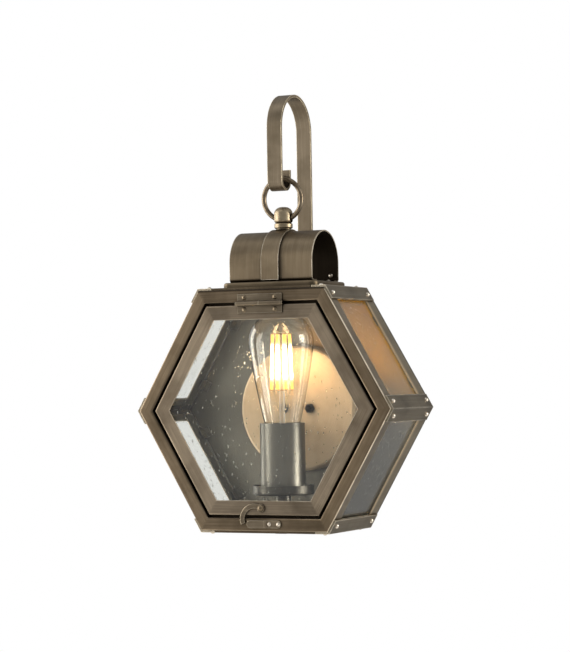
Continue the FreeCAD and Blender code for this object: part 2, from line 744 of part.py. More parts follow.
def wiring_cover():
    """Round pressed cover: crown inside the lantern, flange behind the back pan, open to the wall."""
    t, r = SHEET, COVER_BEND_R
    bend = (COVER_R - r, COVER_RISE - r)
    drawing = [
        (0, COVER_RISE - t),
        (0, COVER_RISE),
        (bend[0], COVER_RISE),
        arc(bend, r, 90, 0),
        (COVER_R, 0),
        (COVER_FLANGE_R, 0),
        (COVER_FLANGE_R, -t),
        (COVER_R - t, -t),
        (COVER_R - t, bend[1]),
        arc(bend, r - t, 0, 90),
    ]
    cover = turned(drawing, V(0, Y_REAR, 0), TOWARD_FRONT)
    cover = drilled(cover, cover_rivet_spots(), RIVET_SHANK_R + RIVET_FIT, 2 * SHEET)
    stud_spots = [(V(p.x, Y_CROWN, p.z), TOWARD_FRONT) for p in STUD_POINTS]
    cover = drilled(cover, stud_spots, STUD_HOLE_R, 2 * SHEET)
    lead_spot = (V(LEAD_X, Y_LEAD, -COVER_R), DOWN)
    return drilled(cover, [lead_spot], LEAD_R + LEAD_HOLE_GAP, COVER_R + TERMINAL_BOTTOM_Z)


def wall_bracket():
    """Flat bar that is screwed to the wall through two slots."""
    half_x, half_z = BRACKET_LENGTH / 2, BRACKET_WIDTH / 2
    bar = box((-half_x, half_x), (-BRACKET_BAR, 0), (-half_z, half_z))
    corners = [e for e in bar.Edges if abs(e.tangentAt(e.FirstParameter).y) > 0.9]
    bar = bar.makeFillet(BRACKET_CORNER_R, corners)
    reach = SLOT_LENGTH / 2 - SLOT_HALF_WIDTH
    for side in (-1, 1):
        x = side * SLOT_SPACING / 2
        slot = round_ended(x - reach, x + reach, 0, SLOT_HALF_WIDTH)
        bar = bar.cut(front_prism(slot, -2 * BRACKET_BAR, BRACKET_BAR))
    return bar


def bracket_studs():
    """Two studs welded to the bracket's front, reaching through the cover's crown."""
    length = -BRACKET_BAR - Y_CROWN + STUD_PROUD
    return Part.makeCompound([Part.makeCylinder(STUD_R, length, p, TOWARD_FRONT) for p in STUD_POINTS])


def dome_nut(point):
    """Hexagon nut with a closed dome, on the front of the cover's crown."""
    bore_depth = STUD_PROUD + PIN_FIT
    height = bore_depth + NUT_WALL
    drawing = [
        (0, 0),
        (NUT_DOME_R, 0),
        (NUT_DOME_R, height - NUT_DOME_R),
        arc((0, height - NUT_DOME_R), NUT_DOME_R, 0, 90),
    ]
    dome = turned(drawing, point, TOWARD_FRONT)
    nut = merged(hex_bar(NUT_FLATS, NUT_HEX_H, point, TOWARD_FRONT), dome)
    return nut.cut(Part.makeCylinder(STUD_R + PIN_FIT, bore_depth, point, TOWARD_FRONT))


def fixing_nuts():
    """Dome nuts that hold the lantern on the bracket's studs."""
    return Part.makeCompound([dome_nut(V(p.x, Y_CROWN, p.z)) for p in STUD_POINTS])


def wall_gasket():
    """Foam ring between the back pan and the wall, relieved where the hook strap passes."""
    outer = APOTHEM - GASKET_INSET
    ring = hex_ring(outer, outer - GASKET_WIDTH, Y_REAR, 0)
    half = HOOK_WIDTH / 2 + HOOK_NOTCH_GAP
    notch = box((-half, half), (Y_REAR, Y_REAR + HOOK_BAR + HOOK_NOTCH_GAP), (0, APOTHEM))
    return ring.cut(notch)


def terminal_block():
    """Two-way terminal block on the inside of the cover's crown."""
    width, depth, height = TERMINAL_SIZE
    y_from = Y_CROWN + SHEET
    x_to = TERMINAL_X + width
    z_to = TERMINAL_BOTTOM_Z + height
    block = box((TERMINAL_X, x_to), (y_from, y_from + depth), (TERMINAL_BOTTOM_Z, z_to))
    z = TERMINAL_BOTTOM_Z + height / 2
    spots = [(V(LEAD_X + s * width / 4, y_from + depth, z), TOWARD_WALL) for s in (-1, 1)]
    return drilled(block, spots, TERMINAL_SCREW_R, TERMINAL_SCREW_DEPTH)


def lamp_lead():
    """Lead from the terminal block down to the floor, across it and up inside the stem."""
    across = V(-LEAD_X, Y_LAMP - Y_LEAD, 0)
    across.normalize()
    half_turn = math.sqrt(0.5)
    start = V(LEAD_X, Y_LEAD, TERMINAL_BOTTOM_Z)
    corner = V(LEAD_X, Y_LEAD, LEAD_LOW_Z)
    axis_foot = V(0, Y_LAMP, LEAD_LOW_Z)
    drop_from = corner + UP * LEAD_DROP_R
    drop_to = corner + across * LEAD_DROP_R
    drop_mid = drop_from + across * LEAD_DROP_R - (across + UP) * (LEAD_DROP_R * half_turn)
    rise_from = axis_foot - across * LEAD_RISE_R
    rise_to = axis_foot + UP * LEAD_RISE_R
    rise_mid = rise_from + UP * LEAD_RISE_R + (across - UP) * (LEAD_RISE_R * half_turn)
    end = V(0, Y_LAMP, CUP_FLOOR_Z + CUP_WALL)
    path = Part.Wire([
        Part.LineSegment(start, drop_from).toShape(),
        Part.Arc(drop_from, drop_mid, drop_to).toShape(),
        Part.LineSegment(drop_to, rise_from).toShape(),
        Part.Arc(rise_from, rise_mid, rise_to).toShape(),
        Part.LineSegment(rise_to, end).toShape(),
    ])
    section = Part.Wire([Part.Circle(start, DOWN, LEAD_R).toShape()])
    return Part.Solid(path.makePipeShell([section], True, False))


def lampholder_cup():
    """Turned cup round the lamp's cap, open at the top."""
    height = CUP_RIM_Z - CUP_FLOOR_Z
    bore = NIPPLE_R + NIPPLE_FIT
    drawing = [
        (bore, 0),
        (CUP_R, 0),
        (CUP_R, height),
        (CUP_R - CUP_WALL, height),
        (CUP_R - CUP_WALL, CUP_WALL),
        (bore, CUP_WALL),
    ]
    return turned(drawing, V(0, Y_LAMP, CUP_FLOOR_Z), UP)


def lampholder_insert():
    """Porcelain insert with the screw bore for the lamp's cap."""
    base_z = CUP_FLOOR_Z + CUP_WALL
    height = INSERT_TOP_Z - base_z
    floor = SOCKET_FLOOR_Z - base_z
    bore = CAP_R + SOCKET_FIT
    drawing = [
        (0, 0),
        (INSERT_R, 0),
        (INSERT_R, height),
        (bore, height),
        (bore, floor),
        (0, floor),
    ]
    return turned(drawing, V(0, Y_LAMP, base_z), UP)


def lampholder_contact():
    """Sprung centre contact: a strip folded back over itself."""
    top = CAP_BOTTOM_Z - CONTACT_GAP - SOCKET_FLOOR_Z
    t = CONTACT_SHEET
    half = CAP_BUTTON_R
    low = [(-half, 0), (half, 0), (half, t), (-half + t, t)]
    high = [(-half + t, top - t), (half, top - t), (half, top), (-half, top)]
    drawing = [(y + Y_LAMP - Y_CHIMNEY, SOCKET_FLOOR_Z + z) for y, z in low + high]
    return side_prism(drawing, CONTACT_WIDTH)


def drip_dish():
    """Shallow turned dish under the lampholder."""
    height = DISH_RIM_Z - DISH_BOTTOM_Z
    bore = NIPPLE_R + NIPPLE_FIT
    bend = (DISH_R - DISH_BEND_R, DISH_BEND_R)
    drawing = [
        (bore, 0),
        (bend[0], 0),
        arc(bend, DISH_BEND_R, -90, 0),
        (DISH_R, height),
        (DISH_R - DISH_WALL, height),
        (DISH_R - DISH_WALL, bend[1]),
        arc(bend, DISH_BEND_R - DISH_WALL, 0, -90),
        (bore, DISH_WALL),
    ]
    return turned(drawing, V(0, Y_LAMP, DISH_BOTTOM_Z), UP)


def lampholder_stem():
    """Hollow stem: a sleeve on the floor, with nipples through the floor, dish and cup."""
    floor = -APOTHEM
    low = floor - STRAP_SHEET - STEM_NUT_H
    high = CUP_FLOOR_Z + CUP_WALL
    drawing = [
        (STEM_BORE_R, low),
        (NIPPLE_R, low),
        (NIPPLE_R, floor),
        (STEM_R, floor),
        (STEM_R, DISH_BOTTOM_Z),
        (NIPPLE_R, DISH_BOTTOM_Z),
        (NIPPLE_R, high),
        (STEM_BORE_R, high),
    ]
    stem = turned(drawing, V(0, Y_LAMP, 0), UP)
    outward = V(LEAD_X, Y_LEAD - Y_LAMP, 0)
    outward.normalize()
    entry = V(0, Y_LAMP, LEAD_LOW_Z) + outward * STEM_R
    return drilled(stem, [(entry, outward)], LEAD_R + LEAD_HOLE_GAP, STEM_R)


def stem_nut():
    """Thin lock nut under the floor."""
    base = V(0, Y_LAMP, -PANEL_TOP - STEM_NUT_H)
    return hex_nut(STEM_NUT_FLATS, STEM_NUT_H, NIPPLE_R + PIN_FIT, base, UP)


def bulb_cap():
    """Screw cap of the lamp with its centre button."""
    height = CAP_TOP_Z - CAP_BOTTOM_Z
    drawing = [
        (0, 0),
        (CAP_BUTTON_R, 0),
        (CAP_R, CAP_THREAD_START),
        (CAP_R, height),
        (0, height),
    ]
    return turned(drawing, V(0, Y_LAMP, CAP_BOTTOM_Z), UP)


def bulb_profile(wall):
    """(radius, height) points of the envelope from neck to crown, set in by a wall."""
    return [
        (NECK_R - wall, CAP_TOP_Z),
        (NECK_TOP_R - wall, NECK_TOP_Z),
        ((SHOULDER_R - wall, SHOULDER_Z), (BULB_R - wall, BULB_WIDEST_Z)),
        arc((0, BULB_WIDEST_Z), BULB_R - wall, 0, 90),
    ]


def bulb_envelope():
    """Blown pear-shaped envelope, open at the neck where it is cemented to the cap."""
    floor = [(0, CAP_TOP_Z)]
    base = V(0, Y_LAMP, 0)
    return turned(bulb_profile(0) + floor, base, UP).cut(turned(bulb_profile(BULB_WALL) + floor, base, UP))


def bulb_stem():
    """Glass flare on the cap with a rod that carries the filament supports."""
    drawing = [
        (0, CAP_TOP_Z),
        (FLARE_R, CAP_TOP_Z),
        (STEM_ROD_R, CAP_TOP_Z + FLARE_H),
        (STEM_ROD_R, SUPPORT_HIGH_Z),
        (0, SUPPORT_HIGH_Z),
    ]
    return turned(drawing, V(0, Y_LAMP, 0), UP)


def support_star(z, reach):
    """Flat star of spokes round the rod, one spoke to each filament."""
    hub = Part.makeCylinder(STEM_ROD_R + SUPPORT_SHEET, SUPPORT_SHEET, V(0, Y_LAMP, z))
    spokes = []
    for i in range(FILAMENT_COUNT):
        spoke = box((0, reach), (Y_LAMP - FILAMENT_R, Y_LAMP + FILAMENT_R), (z, z + SUPPORT_SHEET))
        spoke.rotate(V(0, Y_LAMP, 0), UP, 360 / FILAMENT_COUNT * i)
        spokes.append(spoke)
    bore = Part.makeCylinder(STEM_ROD_R + PIN_FIT, 3 * SUPPORT_SHEET, V(0, Y_LAMP, z - SUPPORT_SHEET))
    return merged(hub, *spokes).cut(bore)


def bulb_supports():
    """Lower and upper spoke stars on the glass rod."""
    low = support_star(SUPPORT_LOW_Z, FILAMENT_LOW_R + FILAMENT_R)
    high = support_star(SUPPORT_HIGH_Z - 2 * SUPPORT_SHEET, FILAMENT_HIGH_R + FILAMENT_R)
    return Part.makeCompound([low, high])


def bulb_filaments():
    """Slanting filament sticks between the two stars."""
    low_z = SUPPORT_LOW_Z + SUPPORT_SHEET + PANE_CLEARANCE
    high_z = SUPPORT_HIGH_Z - 2 * SUPPORT_SHEET - PANE_CLEARANCE
    sticks = []
    for i in range(FILAMENT_COUNT):
        turn = 360 / FILAMENT_COUNT * i
        x_low, y_low = polar((0, Y_LAMP), FILAMENT_LOW_R, turn)
        x_high, y_high = polar((0, Y_LAMP), FILAMENT_HIGH_R, turn)
        along = V(x_high - x_low, y_high - y_low, high_z - low_z)
        sticks.append(Part.makeCylinder(FILAMENT_R, along.Length, V(x_low, y_low, low_z), along))
    return Part.makeCompound(sticks)


def hinge_leaf(up):
    """Hinge leaf above (1) or below (-1) the pin, with its own half of the knuckle."""
    half = LEAF_LENGTH / 2
    near = KNUCKLE_R + LEAF_CLEARANCE
    far = near + LEAF_HEIGHT
    y_leaf = (Y_FRONT - LEAF_SHEET, Y_FRONT)
    x_knuckle = sorted((-up * half, -up * KNUCKLE_GAP / 2))
    plate = box((-half, half), y_leaf, sorted((HINGE_Z + up * near, HINGE_Z + up * far)))
    neck = box(x_knuckle, y_leaf, sorted((HINGE_Z, HINGE_Z + up * near)))
    start = V(x_knuckle[0], HINGE_Y, HINGE_Z)
    length = x_knuckle[1] - x_knuckle[0]
    barrel = Part.makeCylinder(KNUCKLE_R, length, start, V(1, 0, 0))
    leaf = merged(plate, neck, barrel)
    leaf = leaf.cut(Part.makeCylinder(PIN_R + PIN_FIT, length, start, V(1, 0, 0)))
    spots = FRAME_HINGE_SPOTS if up > 0 else DOOR_HINGE_SPOTS
    return drilled(leaf, spots, RIVET_SHANK_R + RIVET_FIT, 2 * LEAF_SHEET)


def hinge_pin():
    """Pin through both knuckles, with a small head at each end."""
    half = LEAF_LENGTH / 2 + KNUCKLE_GAP
    drawing = [
        (0, -half - PIN_HEAD_H),
        (PIN_HEAD_R, -half - PIN_HEAD_H),
        (PIN_HEAD_R, -half),
        (PIN_R, -half),
        (PIN_R, half),
        (PIN_HEAD_R, half),
        (PIN_HEAD_R, half + PIN_HEAD_H),
        (0, half + PIN_HEAD_H),
    ]
    return turned(drawing, V(0, HINGE_Y, HINGE_Z), V(1, 0, 0))


def door_frame():
    """Door face with its rim folded back."""
    face = hex_ring(DOOR_OUTER, DOOR_INNER, Y_FRONT, Y_FRONT + SHEET)
    rim = hex_ring(DOOR_OUTER, DOOR_OUTER - SHEET, Y_FRONT, Y_FRONT + DOOR_RIM)
    frame = folded(merged(face, rim), Y_FRONT, DOOR_OUTER, FOLD_R + SHEET)
    frame = folded(frame, Y_FRONT + SHEET, DOOR_OUTER - SHEET, FOLD_R)
    frame = drilled(frame, DOOR_HINGE_SPOTS, RIVET_SHANK_R + RIVET_FIT, LEAF_SHEET + 2 * SHEET)
    return drilled(frame, [LATCH_SPOT], PIVOT_SHANK_R + PIN_FIT, LATCH_SHEET + 4 * SHEET)


def door_glass():
    """Hexagonal pane behind the door's face."""
    y_from = Y_FRONT + SHEET + PANE_CLEARANCE
    return hex_prism(DOOR_OUTER - SHEET - 2 * PANE_CLEARANCE, y_from, y_from + GLASS)


def door_glass_clips():
    """One folded clip on the inside of each rim, behind the door glass."""
    y_clip = Y_FRONT + SHEET + GLASS + 2 * PANE_CLEARANCE
    z_top = DOOR_OUTER - SHEET
    x_limits = (-CLIP_WIDTH / 2, CLIP_WIDTH / 2)
    clip = merged(
        box(x_limits, (y_clip, Y_FRONT + DOOR_RIM), (z_top - CLIP_SHEET, z_top)),
        box(x_limits, (y_clip, y_clip + CLIP_SHEET), (z_top - CLIP_LEG, z_top)),
    )
    return Part.makeCompound([swing(clip, 60 * i) for i in range(6)])


def latch_pivot():
    """Domed rivet that holds the latch lever on the door."""
    grip = Y_FRONT + SHEET - LATCH_SPOT[0].y
    return rivet(LATCH_SPOT, PIVOT_HEAD_R, PIVOT_HEAD_H, PIVOT_SHANK_R, grip)


def latch_lever():
    """Crescent lever with a round eye, swung clear of the keeper."""
    centre = (LATCH_X + LATCH_REACH[0], LATCH_Z + LATCH_REACH[1])
    bow_r = math.hypot(*LATCH_REACH)
    eye_angle = math.degrees(math.atan2(-LATCH_REACH[1], -LATCH_REACH[0]))
    outer, inner = bow_r + LATCH_WIDTH / 2, bow_r - LATCH_WIDTH / 2
    crescent = [
        polar(centre, outer, eye_angle),
        arc(centre, outer, eye_angle, LATCH_TIP_ANGLE),
        polar(centre, inner, LATCH_TIP_ANGLE),
        arc(centre, inner, LATCH_TIP_ANGLE, eye_angle),
    ]
    bow = front_prism(crescent, LEVER_FRONT, LEVER_FRONT + LATCH_SHEET)
    start = V(LATCH_X, LEVER_FRONT, LATCH_Z)
    lever = merged(bow, Part.makeCylinder(LATCH_EYE_R, LATCH_SHEET, start, TOWARD_WALL))
    lever = lever.cut(Part.makeCylinder(PIVOT_SHANK_R + PIN_FIT, LATCH_SHEET, start, TOWARD_WALL))
    lever.rotate(V(LATCH_X, 0, LATCH_Z), V(0, 1, 0), LATCH_OPEN_ANGLE)
    return lever


def latch_keeper():
    """Strip riveted to the frame, stepped out to a tongue with a rounded free end."""
    t = KEEPER_SHEET
    lift = LATCH_GAP + LATCH_SHEET + KEEPER_CLEARANCE
    step_x = KEEPER_LEFT_X + KEEPER_TONGUE
    end_x = step_x + KEEPER_STEP + KEEPER_FLANGE
    drawing = [
        (KEEPER_LEFT_X, -lift),
        (step_x - t / 2, -lift),
        (step_x + KEEPER_STEP - t / 2, 0),
        (end_x, 0),
        (end_x, -t),
        (step_x + KEEPER_STEP, -t),
        (step_x, -lift - t),
        (KEEPER_LEFT_X, -lift - t),
    ]
    strip = Part.Face(outline(drawing, from_above)).extrude(V(0, 0, KEEPER_HEIGHT))
    strip.translate(V(0, 0, KEEPER_Z - KEEPER_HEIGHT / 2))
    end_r = KEEPER_HEIGHT / 2
    shape = round_ended(KEEPER_LEFT_X + end_r, end_x - end_r, KEEPER_Z, end_r)
    strip = strip.common(front_prism(shape, Y_FRONT - 2 * (lift + t), Y_FRONT))
    return drilled(strip, KEEPER_SPOTS, RIVET_SHANK_R + RIVET_FIT, 2 * KEEPER_SHEET)


SIDE_ANGLES = {"upper_right": 30, "upper_left": 150, "lower_left": 210, "lower_right": 330}
CORNERS = ("right", "upper_right", "upper_left", "left", "lower_left", "lower_right")


def all_nodes():
    """Every piece of the lantern by name."""
    strap_grip = STRAP_SHEET + SHEET
    strap_spots = STRAP_SPOTS_FRONT + STRAP_SPOTS_REAR
    nodes = {
        "front_frame": front_frame(),
        "back_pan": back_pan(),
        "top_panel": top_panel(),
        "bottom_panel": bottom_panel(),
        "corner_rivets": rivets(strap_spots, strap_grip, RIVET_HEAD_R, STRAP_RIVET_HEAD_H),
        "side_glass_clips": side_glass_clips(SIDE_ANGLES.values()),
        "chimney_base": chimney_base(),
        "chimney_arch": chimney_arch(),
        "chimney_band": chimney_band(),
        "chimney_rivets": rivets(chimney_rivet_spots(), 2 * SHEET),
        "finial_collar": finial_collar(),
        "finial": finial(),
        "finial_nut": finial_nut(),
        "hanging_ring": hanging_ring(),
        "hook_strap": hook_strap(),
        "hook_rivets": rivets(HOOK_SPOTS, HOOK_BAR + SHEET),
        "wiring_cover": wiring_cover(),
        "cover_rivets": rivets(cover_rivet_spots(), 2 * SHEET),
        "fixing_nuts": fixing_nuts(),
        "wall_bracket": wall_bracket(),
        "bracket_studs": bracket_studs(),
        "wall_gasket": wall_gasket(),
        "terminal_block": terminal_block(),
        "lamp_lead": lamp_lead(),
        "lampholder_cup": lampholder_cup(),
        "lampholder_insert": lampholder_insert(),
        "lampholder_contact": lampholder_contact(),
        "drip_dish": drip_dish(),
        "lampholder_stem": lampholder_stem(),
        "stem_nut": stem_nut(),
        "bulb_cap": bulb_cap(),
        "bulb_envelope": bulb_envelope(),
        "bulb_stem": bulb_stem(),
        "bulb_supports": bulb_supports(),
        "bulb_filaments": bulb_filaments(),
        "hinge_frame_leaf": hinge_leaf(1),
        "hinge_rivets_frame": rivets(FRAME_HINGE_SPOTS, LEAF_SHEET + SHEET, HINGE_RIVET_HEAD_R),
        "hinge_pin": hinge_pin(),
        "latch_keeper": latch_keeper(),
        "keeper_rivets": rivets(KEEPER_SPOTS, KEEPER_SHEET + SHEET, KEEPER_RIVET_HEAD_R),
        "door_frame": door_frame(),
        "door_glass": door_glass(),
        "door_glass_clips": door_glass_clips(),
        "hinge_door_leaf": hinge_leaf(-1),
        "hinge_rivets_door": rivets(DOOR_HINGE_SPOTS, LEAF_SHEET + SHEET, HINGE_RIVET_HEAD_R),
        "latch_pivot": latch_pivot(),
        "latch_lever": latch_lever(),
    }
    for i, corner in enumerate(CORNERS):
        nodes["corner_strap_" + corner] = corner_strap(i)
    for name, side in SIDE_ANGLES.items():
        nodes["side_glass_" + name] = side_glass(side)
    return nodes


os.makedirs("parts", exist_ok=True)
for node, shape in all_nodes().items():
    shape.exportStep("parts/" + node + ".step")
    print(node, len(shape.Solids), "solid", round(shape.Volume), "mm3")
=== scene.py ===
# %% [markdown]
# # A hexagonal wall lantern in brushed bronze
# The real light is folded from thin bronze-coated sheet, riveted at its corners and glazed with
# seeded glass. The solids already have the right shape and size, so this lesson keeps them and
# gives them what solids lack: softened folds, brushed and worn metal, bubbles in the glass, a
# glowing lamp and a small photo studio.

# %% Load the solids
import bmesh
import bpy
import json
import math
import random
from mathutils import Matrix, Vector

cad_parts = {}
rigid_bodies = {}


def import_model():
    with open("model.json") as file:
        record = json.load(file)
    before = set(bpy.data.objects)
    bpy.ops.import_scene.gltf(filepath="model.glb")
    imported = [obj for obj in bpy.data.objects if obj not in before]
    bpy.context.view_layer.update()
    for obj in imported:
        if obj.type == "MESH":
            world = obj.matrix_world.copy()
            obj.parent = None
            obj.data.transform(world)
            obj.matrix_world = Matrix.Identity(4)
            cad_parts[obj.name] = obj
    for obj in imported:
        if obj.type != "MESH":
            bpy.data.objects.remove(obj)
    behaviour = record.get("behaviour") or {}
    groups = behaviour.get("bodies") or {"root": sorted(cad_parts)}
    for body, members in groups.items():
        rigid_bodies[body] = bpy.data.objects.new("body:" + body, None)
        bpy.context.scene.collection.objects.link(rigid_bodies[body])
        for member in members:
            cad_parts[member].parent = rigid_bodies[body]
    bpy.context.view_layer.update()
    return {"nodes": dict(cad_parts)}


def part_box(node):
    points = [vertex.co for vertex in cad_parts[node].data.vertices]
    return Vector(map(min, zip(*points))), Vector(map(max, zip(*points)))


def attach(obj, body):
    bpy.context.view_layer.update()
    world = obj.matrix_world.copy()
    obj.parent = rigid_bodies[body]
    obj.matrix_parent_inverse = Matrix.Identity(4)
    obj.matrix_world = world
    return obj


for leftover in list(bpy.data.objects):
    bpy.data.objects.remove(leftover)
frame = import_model()
nodes = frame["nodes"]

# %% [markdown]
# ## Two helpers
# Shaders work with linear light, while colours are easiest to read as sRGB hex codes, so one
# function converts them. Materials are small networks of nodes. One function adds a node, sets
# its options, joins its inputs and hands back the output that the next node needs.

# %% Colour codes and nodes
def colour(code):
    """Linear colour, with full alpha, of an sRGB hex code."""
    channels = [int(code[i:i + 2], 16) / 255 for i in (1, 3, 5)]
    return [c / 12.92 if c <= 0.04045 else ((c + 0.055) / 1.055) ** 2.4 for c in channels] + [1.0]


def add(tree, kind, inputs=None, out=0, **settings):
    """New node with its settings and inputs; returns one output, or the node if out is None."""
    node = tree.nodes.new("ShaderNode" + kind)
    for name, value in settings.items():
        setattr(node, name, value)
    for key, value in (inputs or {}).items():
        if isinstance(value, bpy.types.NodeSocket):
            tree.links.new(value, node.inputs[key])
        else:
            node.inputs[key].default_value = value
    return node if out is None else node.outputs[out]


MM = 0.001
print("bronze in linear light:", [round(c, 3) for c in colour("#786a57")])

# %% [markdown]
# ## The camera
# The photograph was taken from the right and a little below the middle of the lantern, with a
# long lens, so that parallel edges stay nearly parallel. The camera stands where the corners of
# the hexagon fall on the same points of a 570 by 652 picture.

# %% Camera
camera = bpy.data.objects.new("camera", bpy.data.cameras.new("camera"))
bpy.context.scene.collection.objects.link(camera)
camera.location = (0.9409, -2.0315, 0.0266)
camera.rotation_euler = [math.radians(a) for a in (91.410, 0.900, 25.482)]
camera.data.sensor_width = 36.0
camera.data.lens = 124.49
bpy.context.scene.camera = camera
bpy.context.scene.view_settings.view_transform = "Standard"
print("camera", round(camera.location.length, 3), "m from the wall point")

# %% [markdown]
# ## The studio
# Metal shows its surroundings, so the room matters as much as the metal. The lantern hangs in a
# white room, but the photographer's side, the ceiling, the floor and the space behind it are
# dimmer than the two bright side walls. Those walls give turned pieces their upright bands and
# keep the side panes from turning milky. A world shader does it with tests on the direction.
# What the camera sees straight or through glass stays white.

# %% World
world = bpy.data.worlds.new("white_room")
world.use_nodes = True
bpy.context.scene.world = world
room = world.node_tree
room.nodes.clear()
direction = add(room, "TexCoord", out="Generated")
path = add(room, "LightPath", out=None)
# For each side: where it is, the cosines at which dimming starts and is full, brightness there.
DIM_SIDES = {
    "photographer": ((0.25, -0.97, 0.0), 0.20, 0.85, 0.42),
    "behind": ((0.0, 1.0, 0.0), 0.30, 0.85, 0.31),
    "ceiling": ((0.0, 0.0, 1.0), 0.60, 0.98, 0.45),
    "floor": ((0.0, 0.0, -1.0), 0.40, 0.95, 0.24),
}
walls = 1.0
for toward, start, full, dim in DIM_SIDES.values():
    turn = add(room, "VectorMath", {0: direction, 1: toward}, out="Value", operation="DOT_PRODUCT")
    side = add(room, "MapRange", {0: turn, 1: start, 2: full, 3: 1.0, 4: dim},
               interpolation_type="SMOOTHSTEP")
    walls = add(room, "Math", {0: walls, 1: side}, operation="MULTIPLY")
bounces = add(room, "Math", {0: path.outputs["Glossy Depth"], 1: path.outputs["Diffuse Depth"]},
              operation="ADD")
straight = add(room, "Math", {0: bounces, 1: 0.5}, operation="LESS_THAN")
through_glass = add(room, "Math", {0: path.outputs["Is Transmission Ray"], 1: straight},
                    operation="MULTIPLY")
seen = add(room, "Math", {0: path.outputs["Is Camera Ray"], 1: through_glass}, operation="MAXIMUM")
brightness = add(room, "Mix", {0: seen, 2: walls, 3: 1.0})
background = add(room, "Background", {"Color": colour("#ffffff"), "Strength": brightness})
add(room, "OutputWorld", {"Surface": background}, out=None)
print("room with", len(DIM_SIDES), "dimmed sides")

# %% [markdown]
# Four soft boxes stand in the room: a large one and a slim one on the left, one on the right and
# a weak one above. They add the gentle light from the left that the photograph has, and the one
# on the right makes the bright spot on the shoulder of the lamp.

# %% Soft boxes
LAMP_AIM = Vector((0.0, -0.06, 0.08))


def soft_box(name, place, size, power, tint):
    """Rectangular lamp that faces the middle of the lantern."""
    lamp = bpy.data.lights.new(name, "AREA")
    lamp.shape = "RECTANGLE"
    lamp.size, lamp.size_y = size
    lamp.energy = power
    lamp.color = colour(tint)[:3]
    holder = bpy.data.objects.new(name, lamp)
    bpy.context.scene.collection.objects.link(holder)
    holder.location = place
    holder.rotation_euler = (LAMP_AIM - Vector(place)).to_track_quat("-Z", "Y").to_euler()


soft_box("soft_box_left", (-1.9, -1.05, 0.2), (1.1, 2.0), 31.0, "#fffaf2")
soft_box("soft_box_rear_left", (-2.1, 0.35, 0.3), (0.8, 2.0), 16.0, "#fffaf2")
soft_box("soft_box_right", (2.0, 0.42, 0.38), (0.7, 0.95), 25.0, "#fff8ee")
soft_box("soft_box_top", (-0.3, -0.6, 2.0), (1.2, 0.8), 4.0, "#ffffff")
print(len(bpy.data.lights), "soft boxes")

# %% [markdown]
# The floor is a pale disc some way below the light. A square would do as well, but a disc has no
# corners that could show at the edge of the picture.

# %% Floor
floor_mesh = bpy.data.meshes.new("floor")
shape = bmesh.new()
bmesh.ops.create_circle(shape, cap_ends=True, radius=1.0, segments=96)
shape.to_mesh(floor_mesh)
shape.free()
floor = bpy.data.objects.new("floor", floor_mesh)
bpy.context.scene.collection.objects.link(floor)
floor.location = (0, -0.20, -0.60)
pale = bpy.data.materials.new("pale_floor")
pale.use_nodes = True
floor_shader = pale.node_tree.nodes["Principled BSDF"]
floor_shader.inputs["Base Color"].default_value = colour("#f2f0ec")
floor_shader.inputs["Roughness"].default_value = 0.9
floor_mesh.materials.append(pale)
print("floor", round(-floor.location.z, 2), "m below the wall point")

# %% [markdown]
# ## Softened edges
# Sheet that is folded in a press never has a knife edge, and a cut edge is broken by the
# finishing wheel. The solids have the large folds; the small roundings could be modelled too,
# but a bevel modifier does it without touching the mesh. The solids arrive with separate
# vertices along sharp edges, so a weld joins them first and flat triangles are merged back into
# whole faces.

# %% Weld, merge and bevel the sheet pieces
def soften(names, width):
    """Rounded edges on solids, by modifiers only."""
    for name in names:
        piece = nodes[name]
        weld = piece.modifiers.new("weld", "WELD")
        weld.merge_threshold = 0.002 * MM
        flat = piece.modifiers.new("flat_faces", "DECIMATE")
        flat.decimate_type = "DISSOLVE"
        flat.angle_limit = math.radians(0.6)
        bevel = piece.modifiers.new("soft_edge", "BEVEL")
        bevel.width = width
        bevel.segments = 2
        bevel.limit_method = "ANGLE"
        bevel.angle_limit = math.radians(40)
        normals = piece.modifiers.new("even_normals", "WEIGHTED_NORMAL")
        normals.keep_sharp = True


STRAPS = [n for n in nodes if n.startswith("corner_strap")]
SIDE_PANES = sorted(n for n in nodes if n.startswith("side_glass_") and n != "side_glass_clips")
PANES = ["door_glass"] + SIDE_PANES
soften(["front_frame", "door_frame", "back_pan"] + STRAPS, 0.35 * MM)
soften(["top_panel", "bottom_panel", "hinge_frame_leaf", "hinge_door_leaf", "latch_keeper"], 0.3 * MM)
soften(["hook_strap", "chimney_arch", "chimney_band", "chimney_base", "latch_lever"], 0.4 * MM)
soften(["wall_bracket", "terminal_block", "finial_nut", "stem_nut"], 0.3 * MM)
soften(PANES, 0.3 * MM)
print("softened", sum(1 for n in nodes.values() if n.modifiers), "pieces")

# %% [markdown]
# ## Coats of colour
# An old metal surface is several coats over each other: the metal, its patina, the worn places
# and the dirt. Painted shade, painted highlights and a painted glow are laid in as coats too.
# Each coat shows where a pattern is strong, so every material below is made by laying one colour
# over another a few times.

# %% Shader start and coats
def new_material(name, roughness, metallic=0.0):
    """Material with a plain Principled shader; returns it, its node tree and the shader."""
    material = bpy.data.materials.new(name)
    material.use_nodes = True
    shader = material.node_tree.nodes["Principled BSDF"]
    shader.inputs["Roughness"].default_value = roughness
    shader.inputs["Metallic"].default_value = metallic
    return material, material.node_tree, shader


def lay_over(tree, base, coat, pattern, limits=(0.0, 1.0), most=1.0):
    """Colour of a coat over a base, as a pattern rises from one limit to the other."""
    base, coat = [colour(tone) if isinstance(tone, str) else tone for tone in (base, coat)]
    cover = add(tree, "MapRange", {0: pattern, 1: limits[0], 2: limits[1], 3: 0.0, 4: most})
    return add(tree, "Mix", {0: cover, 6: base, 7: coat}, out=2, data_type="RGBA")


def feed(tree, shader, outputs):
    """Joins outputs to the shader's inputs of the same key."""
    for name, output in outputs.items():
        tree.links.new(output, shader.inputs[name])


